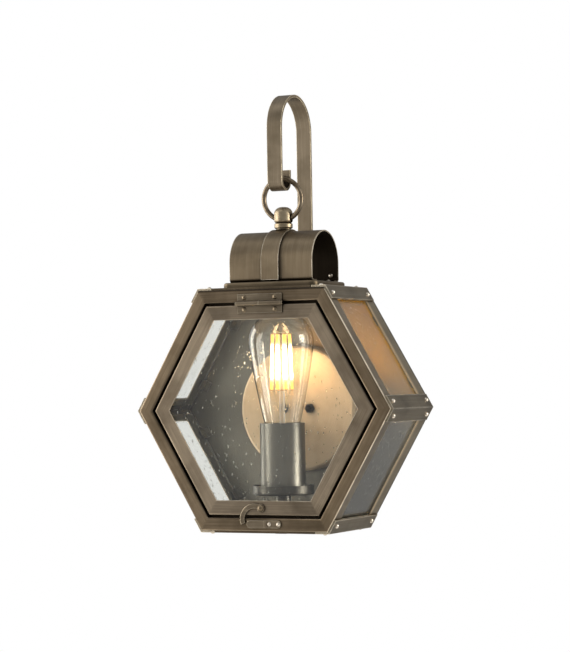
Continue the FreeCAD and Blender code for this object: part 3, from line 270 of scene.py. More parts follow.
def dress(material, names):
    """Gives a material to solids."""
    for name in names:
        nodes[name].material_slots[0].material = material


# %% [markdown]
# ## Brushed bronze
# The sheet is brass-toned metal with a dark bronze coat that was brushed through. Brushing leaves
# fine scratches that are long in one direction, and noise stretched along that direction looks
# the same. Real scratches are about 0.1 mm wide, which a picture of this size cannot show, so
# they are drawn 0.5 mm wide and more. Light that meets the scratches spreads across them. The
# anisotropic setting does that, and its tangent points across the brushing.

# %% Scratches
def scratches(tree, along, across, layer, length, width):
    """Noise stretched along the brushing; length and width are in metres."""
    place = add(tree, "CombineXYZ", {
        0: add(tree, "Math", {0: along, 1: 1 / length}, operation="MULTIPLY"),
        1: add(tree, "Math", {0: across, 1: 1 / width}, operation="MULTIPLY"),
        2: layer,
    })
    return add(tree, "TexNoise", {"Vector": place, "Scale": 1.0, "Detail": 3.0, "Roughness": 0.6})


# %% [markdown]
# Two things age such a coat. Hands and cloths rub it off along every outer edge, where the pale
# metal shows, and dirt stays in the corners that no cloth reaches. The same dark colour in corners
# and gaps is also painted shade. The bevel node finds edges, because its rounded normal differs
# from the real one there. The ambient occlusion node finds corners, because nearby faces hide part
# of the sky.

# %% Wear, patina and painted shade
# dark colour of dirt in corners, also used as painted shade there
DIRT_AND_SHADE = "#1d1712"


def worn_edges(tree, reach, strength):
    """Mask of outer edges, with gaps as rubbing leaves them."""
    rounded = add(tree, "Bevel", {"Radius": reach}, samples=6)
    real = add(tree, "NewGeometry", out="Normal")
    agree = add(tree, "VectorMath", {0: rounded, 1: real}, out="Value", operation="DOT_PRODUCT")
    edge = add(tree, "MapRange", {0: agree, 1: 0.995, 2: 0.92, 3: 0.0, 4: 1.0})
    open_sky = add(tree, "AmbientOcclusion", {"Distance": 3 * MM}, out="AO", samples=6)
    outer = add(tree, "MapRange", {0: open_sky, 1: 0.55, 2: 0.85, 3: 0.0, 4: 1.0})
    position = add(tree, "TexCoord", out="Object")
    patches = add(tree, "TexNoise", {"Vector": position, "Scale": 1 / (12 * MM), "Detail": 3.0})
    rubbed = add(tree, "MapRange", {0: patches, 1: 0.32, 2: 0.60, 3: 0.3 * strength, 4: strength})
    mask = add(tree, "Math", {0: edge, 1: outer}, operation="MULTIPLY")
    return add(tree, "Math", {0: mask, 1: rubbed}, operation="MULTIPLY")


def corner_dirt_and_shade(tree, nook, strength):
    """Mask of inner corners and of gaps up to the width of a nook: dirt, and painted shade."""
    open_sky = add(tree, "AmbientOcclusion", {"Distance": nook}, out="AO", samples=6)
    return add(tree, "MapRange", {0: open_sky, 1: 0.92, 2: 0.35, 3: 0.0, 4: strength})


def brushed_bronze(name, tones, brushing, rough=(0.30, 0.44), wear=0.8, reach=1.2 * MM,
                   nook=5 * MM, dark=None, rubbed=None):
    """Brushed and aged metal; tones are light, middle, shade and worn edge.

    dark makes a mask of painted shade, and rubbed a mask of a pale band that is partly wear
    and partly a painted highlight.
    """
    light, middle, shade, bare = tones
    material, tree, shader = new_material(name, rough[0], 1.0)
    along, across, layer, spread = brushing(tree)
    fine = scratches(tree, along, across, layer, 45 * MM, 0.5 * MM)
    broad = scratches(tree, along, across, layer, 130 * MM, 3.0 * MM)
    position = add(tree, "TexCoord", out="Object")
    cloud = add(tree, "TexNoise", {"Vector": position, "Scale": 1 / (40 * MM), "Detail": 4.0,
                                   "Roughness": 0.55})
    tone = lay_over(tree, middle, light, fine, (0.30, 0.70))
    tone = lay_over(tree, tone, middle, broad, (0.36, 0.64), 0.45)
    tone = lay_over(tree, tone, shade, cloud, (0.42, 0.68), 0.7)
    worn = worn_edges(tree, reach, wear)
    if rubbed is not None:
        worn = add(tree, "Math", {0: worn, 1: rubbed(tree)}, operation="MAXIMUM")
    tone = lay_over(tree, tone, bare, worn)
    # dirt and painted shade in corners and gaps
    dirt_and_shade = corner_dirt_and_shade(tree, nook, 0.85)
    if dark is not None:
        dirt_and_shade = add(tree, "Math", {0: dirt_and_shade, 1: dark(tree)}, operation="MAXIMUM")
    tone = lay_over(tree, tone, DIRT_AND_SHADE, dirt_and_shade)
    streak = add(tree, "Math", {0: fine, 1: broad}, operation="ADD")
    gloss = add(tree, "MapRange", {0: streak, 1: 0.6, 2: 1.4, 3: rough[0], 4: rough[1]})
    gloss = add(tree, "Math", {0: dirt_and_shade, 1: 0.25, 2: gloss}, operation="MULTIPLY_ADD")
    bump = add(tree, "Bump", {"Strength": 0.2, "Distance": 0.03 * MM, "Height": fine}, out="Normal")
    tangent = add(tree, "VectorTransform", {0: spread}, vector_type="VECTOR",
                  convert_from="OBJECT", convert_to="WORLD")
    shader.inputs["Anisotropic"].default_value = 0.6
    feed(tree, shader, {"Base Color": tone, "Roughness": gloss, "Normal": bump, "Tangent": tangent})
    return material


DOOR_BRONZE = ("#a3947f", "#7d705f", "#605547", "#fff3dc")
print("bronze tones of the door", DOOR_BRONZE)

# %% [markdown]
# ## Rails of the hexagon
# The front frame and the door are mitred: each of the six rails is brushed along its own length
# and the strokes change direction at the corners. Six materials with six directions would do,
# but one is enough. The angle of a point round the middle says which rail it is on, and turning
# the point back by that rail's angle gives a distance across the rail and a place along it.

# %% Rail coordinates and brushing
SIXTH = math.pi / 3
RAIL_LAYERS, STRAP_LAYERS = 7.3, 5.1  # steps in the noise that give each rail strokes of its own


def rail_place(tree):
    """Of a point on a hexagon: along its rail, across it, the rail's number and angle, depth."""
    split = add(tree, "SeparateXYZ", {0: add(tree, "TexCoord", out="Object")}, out=None)
    x, y, z = split.outputs
    angle = add(tree, "Math", {0: z, 1: x}, operation="ARCTAN2")
    sixths = add(tree, "Math", {0: angle, 1: SIXTH}, operation="DIVIDE")
    rail = add(tree, "Math", {0: sixths}, operation="FLOOR")
    middle = add(tree, "Math", {0: rail, 1: SIXTH, 2: SIXTH / 2}, operation="MULTIPLY_ADD")
    turn = add(tree, "Math", {0: angle, 1: middle}, operation="SUBTRACT")
    flat = add(tree, "CombineXYZ", {0: x, 1: 0.0, 2: z})
    radius = add(tree, "VectorMath", {0: flat}, out="Value", operation="LENGTH")
    sine = add(tree, "Math", {0: turn}, operation="SINE")
    cosine = add(tree, "Math", {0: turn}, operation="COSINE")
    along = add(tree, "Math", {0: radius, 1: sine}, operation="MULTIPLY")
    across = add(tree, "Math", {0: radius, 1: cosine}, operation="MULTIPLY")
    return along, across, rail, middle, y


def rail_brushing(tree):
    """Strokes along each rail."""
    along, across, rail, middle, _ = rail_place(tree)
    cosine = add(tree, "Math", {0: middle}, operation="COSINE")
    sine = add(tree, "Math", {0: middle}, operation="SINE")
    layer = add(tree, "Math", {0: rail, 1: RAIL_LAYERS}, operation="MULTIPLY")
    return along, across, layer, add(tree, "CombineXYZ", {0: cosine, 1: 0.0, 2: sine})


def depth_brushing(tree):
    """Strokes from front to rear on the straps."""
    along, _, rail, middle, y = rail_place(tree)
    cosine = add(tree, "Math", {0: middle}, operation="COSINE")
    sine = add(tree, "Math", {0: middle}, operation="SINE")
    back = add(tree, "Math", {0: sine, 1: -1.0}, operation="MULTIPLY")
    layer = add(tree, "Math", {0: rail, 1: STRAP_LAYERS}, operation="MULTIPLY")
    return y, along, layer, add(tree, "CombineXYZ", {0: back, 1: 0.0, 2: cosine})


def level_brushing(tree):
    """Strokes from left to right."""
    split = add(tree, "SeparateXYZ", {0: add(tree, "TexCoord", out="Object")}, out=None)
    x, y, z = split.outputs
    across = add(tree, "Math", {0: y, 1: z}, operation="ADD")
    return x, across, y, add(tree, "CombineXYZ", {2: 1.0})


# %% [markdown]
# The front frame was handled most. Its outer fold is worn pale, and on the right it is painted
# brighter still, as a highlight where the light falls on it. Its top edge, under the tray of the
# chimney, carries a painted shadow of the tray. Both are masks made from the place of a point, so
# that they follow the frame's own size.

# %% Worn fold with painted highlight, and painted tray shadow, on the front frame
FRAME_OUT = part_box("front_frame")[1].z
FRAME_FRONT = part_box("front_frame")[0].y


def rubbed_band(tree, edge_y, width, out, amount):
    """Mask of a band beside an edge, on the outer side of a lip, broken up by noise."""
    _, across, _, _, y = rail_place(tree)
    near = add(tree, "MapRange", {0: y, 1: edge_y + 0.4 * width, 2: edge_y + width, 3: amount, 4: 0.0},
               interpolation_type="SMOOTHSTEP")
    outside = add(tree, "Math", {0: across, 1: out - 0.5 * MM}, operation="GREATER_THAN")
    position = add(tree, "TexCoord", out="Object")
    patches = add(tree, "TexNoise", {"Vector": position, "Scale": 1 / (18 * MM), "Detail": 3.0})
    uneven = add(tree, "MapRange", {0: patches, 1: 0.30, 2: 0.55, 3: 0.55, 4: 1.0})
    band = add(tree, "Math", {0: near, 1: outside}, operation="MULTIPLY")
    return add(tree, "Math", {0: band, 1: uneven}, operation="MULTIPLY")


def fold_wear_and_right_highlight(tree):
    """Mask of the worn outer fold and lip, with a painted highlight that grows to the right."""
    fold = rubbed_band(tree, FRAME_FRONT, 3.4 * MM, FRAME_OUT, 0.9)
    lip = rubbed_band(tree, FRAME_FRONT, 40 * MM, FRAME_OUT, 0.2)
    both = add(tree, "Math", {0: fold, 1: lip}, operation="MAXIMUM")
    x = add(tree, "SeparateXYZ", {0: add(tree, "TexCoord", out="Object")}, out=0)
    # painted highlight: the band brightens towards the right, where the light falls
    right_highlight = add(tree, "MapRange", {0: x, 1: 50 * MM, 2: 72 * MM, 3: 0.25, 4: 1.0})
    return add(tree, "Math", {0: both, 1: right_highlight}, operation="MULTIPLY")


def painted_tray_shadow(tree):
    """Mask of the upper fold near the front, where the shadow of the tray is painted."""
    split = add(tree, "SeparateXYZ", {0: add(tree, "TexCoord", out="Object")}, out=None)
    _, y, z = split.outputs
    high = add(tree, "MapRange", {0: z, 1: FRAME_OUT - 2.4 * MM, 2: FRAME_OUT - 1.2 * MM, 3: 0.0,
                                  4: 0.85})
    near = add(tree, "MapRange", {0: y, 1: FRAME_FRONT + 3 * MM, 2: FRAME_FRONT + 6 * MM, 3: 1.0,
                                  4: 0.0})
    return add(tree, "Math", {0: high, 1: near}, operation="MULTIPLY")


print("outer fold", round(FRAME_OUT / MM, 1), "mm from the axis")

# %% [markdown]
# Door, frame, straps, panels and fittings are the same metal from different hands: the door was
# wiped often, the frame less, the panels above and below hardly ever.

# %% Dress rails, straps and fittings
FRAME_BRONZE = ("#907f69", "#6e604d", "#544838", "#fff0d6")
STRAP_BRONZE = ("#a3967f", "#817561", "#655b49", "#fff3dc")
PANEL_BRONZE = ("#6a5f4e", "#54493b", "#40372c", "#8a7c66")
FITTING_BRONZE = ("#998b76", "#746857", "#544a3d", "#f0e2c6")
dress(brushed_bronze("brushed_bronze_door", DOOR_BRONZE, rail_brushing), ["door_frame"])
# the front frame gets a painted tray shadow on its top fold and a painted highlight on its right fold
dress(brushed_bronze("brushed_bronze_frame", FRAME_BRONZE, rail_brushing, wear=0.55, dark=painted_tray_shadow,
                     rubbed=fold_wear_and_right_highlight), ["front_frame"])
dress(brushed_bronze("brushed_bronze_straps", STRAP_BRONZE, depth_brushing, reach=2.0 * MM), STRAPS)
# a wide nook spreads the dirt and painted shade far into the corners of the panels
dress(brushed_bronze("sooty_bronze_panels", PANEL_BRONZE, depth_brushing, wear=0.1, nook=10 * MM),
      ["top_panel", "bottom_panel"])
dress(brushed_bronze("brushed_bronze_hardware", FITTING_BRONZE, level_brushing, wear=0.5),
      ["hinge_frame_leaf", "hinge_door_leaf", "latch_keeper", "latch_lever", "hinge_pin"])
print("rails,", len(STRAPS), "straps, panels and fittings dressed")

# %% [markdown]
# ## Back pan
# Outside, the pan is the same bronze. Inside, its face was never polished: it is a flat, greyer
# coat with soft vertical streaks. On the right, above the middle, the warm light of the lamp is
# painted on it as a glow. Depth and distance from the axis separate the two sides of the sheet.

# %% Back pan
PAN_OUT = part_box("back_pan")[1].z
PAN_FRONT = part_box("back_pan")[0].y
PAN_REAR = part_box("back_pan")[1].y
# where the lamp's warm light is painted on the face: across and up, from start to full
LAMP_GLOW_X, LAMP_GLOW_Z = (-25 * MM, 60 * MM), (-25 * MM, 35 * MM)


def pan_material():
    """Grey streaked face inside with a painted glow of the lamp, bronze lips outside."""
    material, tree, shader = new_material("lacquered_sheet_pan", 0.45, 1.0)
    along, across, rail, _, y = rail_place(tree)
    position = add(tree, "TexCoord", out="Object")
    x, _, z = add(tree, "SeparateXYZ", {0: position}, out=None).outputs
    streak = scratches(tree, z, x, 3.0, 60 * MM, 1.6 * MM)
    cloud = add(tree, "TexNoise", {"Vector": position, "Scale": 1 / (60 * MM), "Detail": 3.0})
    lamp_glow = add(tree, "Math", {0: y, 1: PAN_REAR - 3 * MM}, operation="GREATER_THAN")
    for place, (start, full) in ((x, LAMP_GLOW_X), (z, LAMP_GLOW_Z)):
        rise = add(tree, "MapRange", {0: place, 1: start, 2: full, 3: 0.0, 4: 1.0},
                   interpolation_type="SMOOTHSTEP")
        lamp_glow = add(tree, "Math", {0: lamp_glow, 1: rise}, operation="MULTIPLY")
    grey = lay_over(tree, "#78756b", "#89867a", streak, (0.3, 0.7), 0.4)
    # painted reflection of the lamp's warm light
    grey = lay_over(tree, grey, "#cf9f4c", lamp_glow)
    grey = lay_over(tree, grey, "#6f675a", cloud, (0.4, 0.7), 0.4)
    fine = scratches(tree, along, across, rail, 45 * MM, 0.5 * MM)
    worn = add(tree, "Math", {0: worn_edges(tree, 1.2 * MM, 0.8),
                              1: rubbed_band(tree, PAN_FRONT, 6 * MM, PAN_OUT, 0.75)},
               operation="MAXIMUM")
    bronze = lay_over(tree, STRAP_BRONZE[1], STRAP_BRONZE[0], fine, (0.3, 0.7))
    bronze = lay_over(tree, bronze, "#e6cca6", worn)
    outside = add(tree, "Math", {0: across, 1: PAN_OUT - 0.6 * MM}, operation="GREATER_THAN")
    behind = add(tree, "Math", {0: y, 1: PAN_REAR - 0.6 * MM}, operation="GREATER_THAN")
    skin = add(tree, "Math", {0: outside, 1: behind}, operation="MAXIMUM")
    tone = lay_over(tree, grey, bronze, skin)
    # dirt and painted shade in the corners of the pan
    tone = lay_over(tree, tone, "#1d1a16", corner_dirt_and_shade(tree, 5 * MM, 0.8))
    gloss = add(tree, "MapRange", {0: skin, 1: 0.0, 2: 1.0, 3: 0.52, 4: 0.38})
    bump = add(tree, "Bump", {"Strength": 0.3, "Distance": 0.03 * MM, "Height": streak}, out="Normal")
    feed(tree, shader, {"Base Color": tone, "Roughness": gloss, "Normal": bump})
    return material


dress(pan_material(), ["back_pan"])
print("pan: lips", round(PAN_OUT / MM, 1), "mm from the axis")

# %% [markdown]
# ## Chimney, hook and ring
# The chimney, its band and the hook were brushed before they were bent, so the strokes run up
# one side, over the top and down the other. Inside the chimney, shade is painted dark. Whether a
# point is inside is told by its normal, which points towards the axis there.

# %% Chimney and hook
ARCH_LOW, ARCH_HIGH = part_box("chimney_arch")
ARCH_Y = (ARCH_LOW.y + ARCH_HIGH.y) / 2
ARCH_AXIS = ARCH_HIGH.z - (ARCH_HIGH.y - ARCH_LOW.y) / 2


def bent_brushing(tree):
    """Strokes that follow a bent strip up, over and down again."""
    split = add(tree, "SeparateXYZ", {0: add(tree, "TexCoord", out="Object")}, out=None)
    x, y, z = split.outputs
    along = add(tree, "Math", {0: y, 1: z}, operation="ADD")
    return along, x, 3.0, add(tree, "CombineXYZ", {0: 1.0})


def painted_chimney_shade(tree):
    """Mask of painted shade on the faces that look towards the axis of the arch."""
    coordinate = add(tree, "TexCoord", out=None)
    split = add(tree, "SeparateXYZ", {0: coordinate.outputs["Object"]}, out=None)
    _, y, z = split.outputs
    out_y = add(tree, "Math", {0: y, 1: ARCH_Y}, operation="SUBTRACT")
    above = add(tree, "Math", {0: z, 1: ARCH_AXIS}, operation="SUBTRACT")
    out_z = add(tree, "Math", {0: above, 1: 0.0}, operation="MAXIMUM")
    outward = add(tree, "CombineXYZ", {0: 0.0, 1: out_y, 2: out_z})
    facing = add(tree, "VectorMath", {0: coordinate.outputs["Normal"], 1: outward}, out="Value",
                 operation="DOT_PRODUCT")
    return add(tree, "MapRange", {0: facing, 1: -1.0 * MM, 2: -4.0 * MM, 3: 0.0, 4: 0.9})


ARCH_BRONZE = ("#8a7c67", "#6f624f", "#5b5041", "#fff4df")
BAND_BRONZE = ("#8f816c", "#736653", "#5d5241", "#fff4df")
TRAY_BRONZE = ("#8f816a", "#706350", "#584d3e", "#e0d2b4")
BAR_BRONZE = ("#978a77", "#786c5a", "#605646", "#fbeccd")
SATIN = (0.42, 0.54)
# painted shade inside the arch
dress(brushed_bronze("brushed_bronze_chimney", ARCH_BRONZE, bent_brushing, SATIN, dark=painted_chimney_shade),
      ["chimney_arch"])
dress(brushed_bronze("brushed_bronze_band", BAND_BRONZE, bent_brushing, SATIN), ["chimney_band"])
dress(brushed_bronze("brushed_bronze_tray", TRAY_BRONZE, level_brushing, SATIN, wear=0.15),
      ["chimney_base"])
# a wide nook paints shade deep inside the bend of the hook, together with dirt
dress(brushed_bronze("brushed_bronze_bar", BAR_BRONZE, bent_brushing, SATIN, wear=1.0, nook=16 * MM),
      ["hook_strap"])
print("chimney axis at", round(ARCH_AXIS / MM, 1), "mm")

# %% [markdown]
# The ring is drawn wire with an even, darker coat that wears where it hangs. The finial and its
# collar were turned on a lathe, which leaves fine rings round the axis, and the round cover on
# the back wall was spun and brushed in circles, then lacquered a warm tan.

# %% Ring, finial and cover
def ring_material():
    """Coated wire, worn on its high spots."""
    material, tree, shader = new_material("antique_bronze_wire", 0.36, 1.0)
    position = add(tree, "TexCoord", out="Object")
    cloud = add(tree, "TexNoise", {"Vector": position, "Scale": 1 / (7 * MM), "Detail": 5.0,
                                   "Roughness": 0.6})
    tone = lay_over(tree, "#665a4a", "#978974", cloud, (0.35, 0.7))
    # dirt and painted shade in the hollows of the ring
    tone = lay_over(tree, tone, DIRT_AND_SHADE, corner_dirt_and_shade(tree, 4 * MM, 0.8))
    gloss = add(tree, "MapRange", {0: cloud, 1: 0.3, 2: 0.7, 3: 0.44, 4: 0.30})
    feed(tree, shader, {"Base Color": tone, "Roughness": gloss})
    return material


def turned_metal(name, tones, roughness, ring_width, round_wall=False, metallic=1.0,
                 depth=0.02 * MM, mottle=14 * MM):
    """Metal with fine rings: up its height, or round the middle of the back wall."""
    material, tree, shader = new_material(name, roughness, metallic)
    position = add(tree, "TexCoord", out="Object")
    if round_wall:
        level = add(tree, "VectorMath", {0: position, 1: (1.0, 0.0, 1.0)}, operation="MULTIPLY")
        ring = add(tree, "VectorMath", {0: level}, out="Value", operation="LENGTH")
    else:
        ring = add(tree, "SeparateXYZ", {0: position}, out=2)
    rings = scratches(tree, 0.0, ring, 2.0, 1.0, ring_width)
    cloud = add(tree, "TexNoise", {"Vector": position, "Scale": 1 / mottle, "Detail": 4.0})
    tone = lay_over(tree, tones[0], tones[1], rings, (0.3, 0.7))
    tone = lay_over(tree, tone, tones[2], cloud, (0.45, 0.75), 0.6)
    # dirt and painted shade in the corners of the turned pieces
    tone = lay_over(tree, tone, "#1f1913", corner_dirt_and_shade(tree, 4 * MM, 0.8))
    gloss = add(tree, "MapRange", {0: rings, 1: 0.3, 2: 0.7, 3: roughness - 0.02, 4: roughness + 0.02})
    bump = add(tree, "Bump", {"Strength": 0.15, "Distance": depth, "Height": rings}, out="Normal")
    feed(tree, shader, {"Base Color": tone, "Roughness": gloss, "Normal": bump})
    return material, tree, shader


DOME_TONES = ("#948670", "#b0a186", "#6a5d4b")
COLLAR_TONES = ("#8b7d66", "#a5977d", "#695c4a")
COVER_TONES = ("#d2bb99", "#dcc6a6", "#c3a985")
dress(ring_material(), ["hanging_ring"])
dress(turned_metal("turned_brass_dome", DOME_TONES, 0.42, 0.5 * MM, mottle=5 * MM)[0], ["finial"])
dress(turned_metal("turned_brass_collar", COLLAR_TONES, 0.38, 0.5 * MM, mottle=5 * MM)[0],
      ["finial_collar"])
dress(turned_metal("spun_brass_cover", COVER_TONES, 0.50, 0.9 * MM, True, metallic=0.4)[0],
      ["wiring_cover"])
print("ring and turned pieces dressed")

# %% [markdown]
# ## Rivets and lampholder
# Rivet heads are set with a cupped punch that burnishes them, so they are the brightest points
# of the light. The cup, the dish and the stem of the lampholder are satin nickel. Turning leaves
# rings round the axis, and light that meets them spreads up and down into long upright bands.

# %% Rivets and satin nickel
def rivet_material():
    """Burnished nickel-silver heads with faint scuffs, and dirt and painted shade round the rim."""
    material, tree, shader = new_material("burnished_rivet", 0.39, 1.0)
    position = add(tree, "TexCoord", out="Object")
    scuff = add(tree, "TexNoise", {"Vector": position, "Scale": 1 / (1.4 * MM), "Detail": 4.0})
    tone = lay_over(tree, "#e6ddcf", "#bdb2a0", scuff, (0.4, 0.7))
    # dirt and painted shade round the rim of each head
    tone = lay_over(tree, tone, "#2a231c", corner_dirt_and_shade(tree, 1.0 * MM, 0.7))
    gloss = add(tree, "MapRange", {0: scuff, 1: 0.3, 2: 0.7, 3: 0.32, 4: 0.46})
    feed(tree, shader, {"Base Color": tone, "Roughness": gloss})
    return material


def nickel_material(name, tones):
    """Turned satin nickel with upright highlights."""
    material, tree, shader = turned_metal(name, tones, 0.47, 4 * MM, depth=0.0)
    shader.inputs["Anisotropic"].default_value = 0.75
    feed(tree, shader, {"Tangent": add(tree, "CombineXYZ", {2: 1.0})})
    return material


dress(rivet_material(), ["corner_rivets", "chimney_rivets", "hook_rivets", "cover_rivets",
                         "keeper_rivets"])
dress(nickel_material("satin_nickel", ("#7d7a72", "#7f7c74", "#78756d")),
      ["lampholder_cup", "lampholder_stem"])
# the dish is a darker copy of the satin nickel: painted shade
dress(nickel_material("shaded_nickel_dish", ("#5d5a53", "#5f5c55", "#595650")), ["drip_dish"])
print("rivets and lampholder dressed")

# %% [markdown]
# ## Hidden and small pieces
# Behind and below there is ordinary hardware: blackened nuts, a zinc-plated bracket, a foam
# gasket, a plastic terminal block, a braided lead and a porcelain insert. Each is one speckle
# of noise away from its plain colour, at the grain size of the real thing.

# %% One recipe for the small hardware
def speckled(name, tones, grain, roughness, metallic, bump_height=0.0):
    """Material of two tones mixed by grain of a real size, in metres."""
    material, tree, shader = new_material(name, roughness, metallic)
    position = add(tree, "TexCoord", out="Object")
    speckle = add(tree, "TexNoise", {"Vector": position, "Scale": 1 / grain, "Detail": 5.0,
                                     "Roughness": 0.6})
    tone = lay_over(tree, tones[0], tones[1], speckle, (0.36, 0.66))
    gloss = add(tree, "MapRange", {0: speckle, 1: 0.3, 2: 0.7, 3: roughness - 0.06,
                                   4: roughness + 0.06})
    feed(tree, shader, {"Base Color": tone, "Roughness": gloss})
    if bump_height:
        bump = add(tree, "Bump", {"Strength": 0.5, "Distance": bump_height, "Height": speckle},
                   out="Normal")
        feed(tree, shader, {"Normal": bump})
    return material


# %% [markdown]
# For each material: two tones, the size of its grain, roughness, whether it is metal, and how
# high the grain stands.

# %% Dress the small hardware
dress(speckled("blackened_steel", ("#1b1815", "#332e28"), 1.5 * MM, 0.42, 1.0),
      ["fixing_nuts", "finial_nut", "stem_nut"])
dress(speckled("zinc_plated_steel", ("#a9adb0", "#c9cccd"), 5 * MM, 0.34, 1.0),
      ["wall_bracket", "bracket_studs"])
dress(speckled("closed_cell_foam", ("#1c1c1c", "#2c2b2a"), 0.8 * MM, 0.9, 0.0, 0.2 * MM),
      ["wall_gasket"])
dress(speckled("moulded_nylon", ("#d8d5c9", "#e4e2d8"), 2 * MM, 0.45, 0.0, 0.02 * MM),
      ["terminal_block"])
dress(speckled("braided_glass_sleeve", ("#b3a384", "#d2c4a6"), 0.7 * MM, 0.85, 0.0, 0.2 * MM),
      ["lamp_lead"])
dress(speckled("glazed_porcelain", ("#e6e3da", "#efede6"), 6 * MM, 0.18, 0.0), ["lampholder_insert"])
dress(speckled("bright_brass", ("#b79a5c", "#cfb274"), 2 * MM, 0.25, 1.0),
      ["lampholder_contact", "bulb_cap"])
dress(speckled("bronze_spring_clip", ("#716e64", "#837f74"), 3 * MM, 0.52, 1.0),
      ["side_glass_clips", "door_glass_clips"])
dress(speckled("bronze_rivet", ("#6b5f4e", "#8d7f69"), 2 * MM, 0.36, 1.0),
      ["hinge_rivets_frame", "hinge_rivets_door", "latch_pivot"])
dress(speckled("bright_wire", ("#b9a67e", "#d3c29a"), 2 * MM, 0.3, 1.0), ["bulb_supports"])
print("hardware dressed")

# %% [markdown]
# ## Glass
# Clear soda-lime glass has an IOR of 1.52. Panes for this kind of light are drawn by hand, so
# their faces are a little wavy. Direct lamplight would be stopped by glass in a path tracer
# that does not follow caustics, so the panes cast no shadow.

# %% Panes
GLASS_IOR = 1.52


def pane_material():
    """Clear drawn glass with wavy faces."""
    material, tree, shader = new_material("drawn_glass", 0.0)
    shader.inputs["Base Color"].default_value = colour("#fbfcf9")
    shader.inputs["Transmission Weight"].default_value = 1.0
    shader.inputs["IOR"].default_value = GLASS_IOR
    position = add(tree, "TexCoord", out="Object")
    waves = add(tree, "TexNoise", {"Vector": position, "Scale": 1 / (16 * MM), "Detail": 5.0,
                                   "Roughness": 0.55})
    bump = add(tree, "Bump", {"Strength": 0.15, "Distance": 0.15 * MM, "Height": waves}, out="Normal")
    feed(tree, shader, {"Normal": bump})
    return material


dress(pane_material(), PANES)
for name in PANES:
    nodes[name].visible_shadow = False
print(len(PANES), "panes")

# %% [markdown]
# ## Seeds in the glass
# The small bubbles in seeded glass are called seeds. They are drawn out upwards as the sheet is
# pulled. A bump on the surface would only hint at them, so each seed is a small stretched ball
# of air inside the pane. Air in glass bends light the other way round, with an IOR of 1 / 1.52.

# %% Air in the glass
def seed_material():
    """Air inside glass, with a faint film on some of the walls."""
    material = bpy.data.materials.new("air_in_glass")
    material.use_nodes = True
    tree = material.node_tree
    tree.nodes.clear()
    position = add(tree, "TexCoord", out="Object")
    film = add(tree, "TexNoise", {"Vector": position, "Scale": 1 / (5 * MM), "Detail": 2.0})
    tint = lay_over(tree, "#ffffff", "#f2f5ef", film)
    bubble = add(tree, "BsdfGlass", {"Color": tint, "Roughness": 0.0, "IOR": 1 / GLASS_IOR})
    add(tree, "OutputMaterial", {"Surface": bubble}, out=None)
    return material


AIR = seed_material()
print("air bends light by an IOR of", round(1 / GLASS_IOR, 3))

# %% [markdown]
# Each pane gets its own numbers from a dice with a fixed seed, so that every run makes the same
# glass. The door has a patch of larger seeds beside the lamp, where they catch its light. A piece
# made here belongs to a moving part of the light, so it has to ride on that part.

# %% Seeds
GIRTHS = (0.24, 0.30, 0.36, 0.44, 0.56)  # half widths of seeds, in millimetres
STRETCH = (1.5, 3.2)  # how much longer than wide
SEED_DEPTH = 0.6 * MM  # farthest from the middle of the glass
DOOR_RIM, SIDE_RIM = 3 * MM, 2 * MM  # edges without seeds
SIDE_HALF_HEIGHT = 56 * MM
PATCH = ((-30 * MM, 2 * MM), (24 * MM, 62 * MM))  # across and up, on the door
PATCH_SHARE, PATCH_GROWTH = 20, 1.5  # every 20th seed is in the patch, and larger


def smooth_piece(name, shape, material, body):
    """Object from a shape, with smooth faces, riding on a body."""
    for face in shape.faces:
        face.smooth = True
    mesh = bpy.data.meshes.new(name)
    shape.to_mesh(mesh)
    shape.free()
    piece = bpy.data.objects.new(name, mesh)
    bpy.context.scene.collection.objects.link(piece)
    mesh.materials.append(material)
    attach(piece, body)
    print(name, len(mesh.polygons), "faces")
    return piece


def seeds(name, pane, body, count, seed, patch=None):
    """Bubbles spread in one pane; a patch, as limits across and up, gets some larger ones."""
    dice = random.Random(seed)
    low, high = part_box(pane)
    middle = (low + high) / 2
    if pane == "door_glass":
        right, up, out = Vector((1, 0, 0)), Vector((0, 0, 1)), Vector((0, -1, 0))
        half = (high.z - DOOR_RIM, high.z - DOOR_RIM)
    else:
        tilt = math.degrees(math.atan2(middle.z, middle.x))
        tilt = math.radians(round((tilt - 30) / 60) * 60 + 30)
        out = Vector((math.cos(tilt), 0, math.sin(tilt)))
        up = Vector((-math.sin(tilt), 0, math.cos(tilt)))
        right = Vector((0, 1, 0))
        half = ((high.y - low.y) / 2 - SIDE_RIM, SIDE_HALF_HEIGHT)
    shape = bmesh.new()
    made = 0
    while made < count:
        u, v = dice.uniform(-1, 1) * half[0], dice.uniform(-1, 1) * half[1]
        in_patch = patch and made % PATCH_SHARE == 0
        if in_patch:
            u, v = dice.uniform(*patch[0]), dice.uniform(*patch[1])
        hexagon = abs(u) * math.cos(SIXTH / 2) + abs(v) * math.sin(SIXTH / 2)
        if pane == "door_glass" and hexagon > half[0]:
            continue
        girth = dice.choice(GIRTHS) * (PATCH_GROWTH if in_patch else 1.0) * MM
        length = girth * dice.uniform(*STRETCH)
        centre = middle + right * u + up * v + out * dice.uniform(-SEED_DEPTH, SEED_DEPTH)
        axes = Matrix((right * girth, out * girth, up * length)).transposed().to_4x4()
        bmesh.ops.create_icosphere(shape, subdivisions=2, radius=1.0,
                                   matrix=Matrix.Translation(centre) @ axes)
        made += 1
    smooth_piece(name, shape, AIR, body).visible_shadow = False


seeds("seeds_door", "door_glass", "door", 420, 11, PATCH)
for i, pane in enumerate(SIDE_PANES):
    seeds(pane.replace("side_glass", "seeds"), pane, "lantern", 300, 20 + i)

# %% [markdown]
# ## The lamp
# The envelope is thin clear glass with the faint waves of blown glass. Inside, the coated sticks
# glow warm white, far brighter than the room, so they burn out to white in a picture and light
# the back wall. Towards their ends they are cooler, and gold.

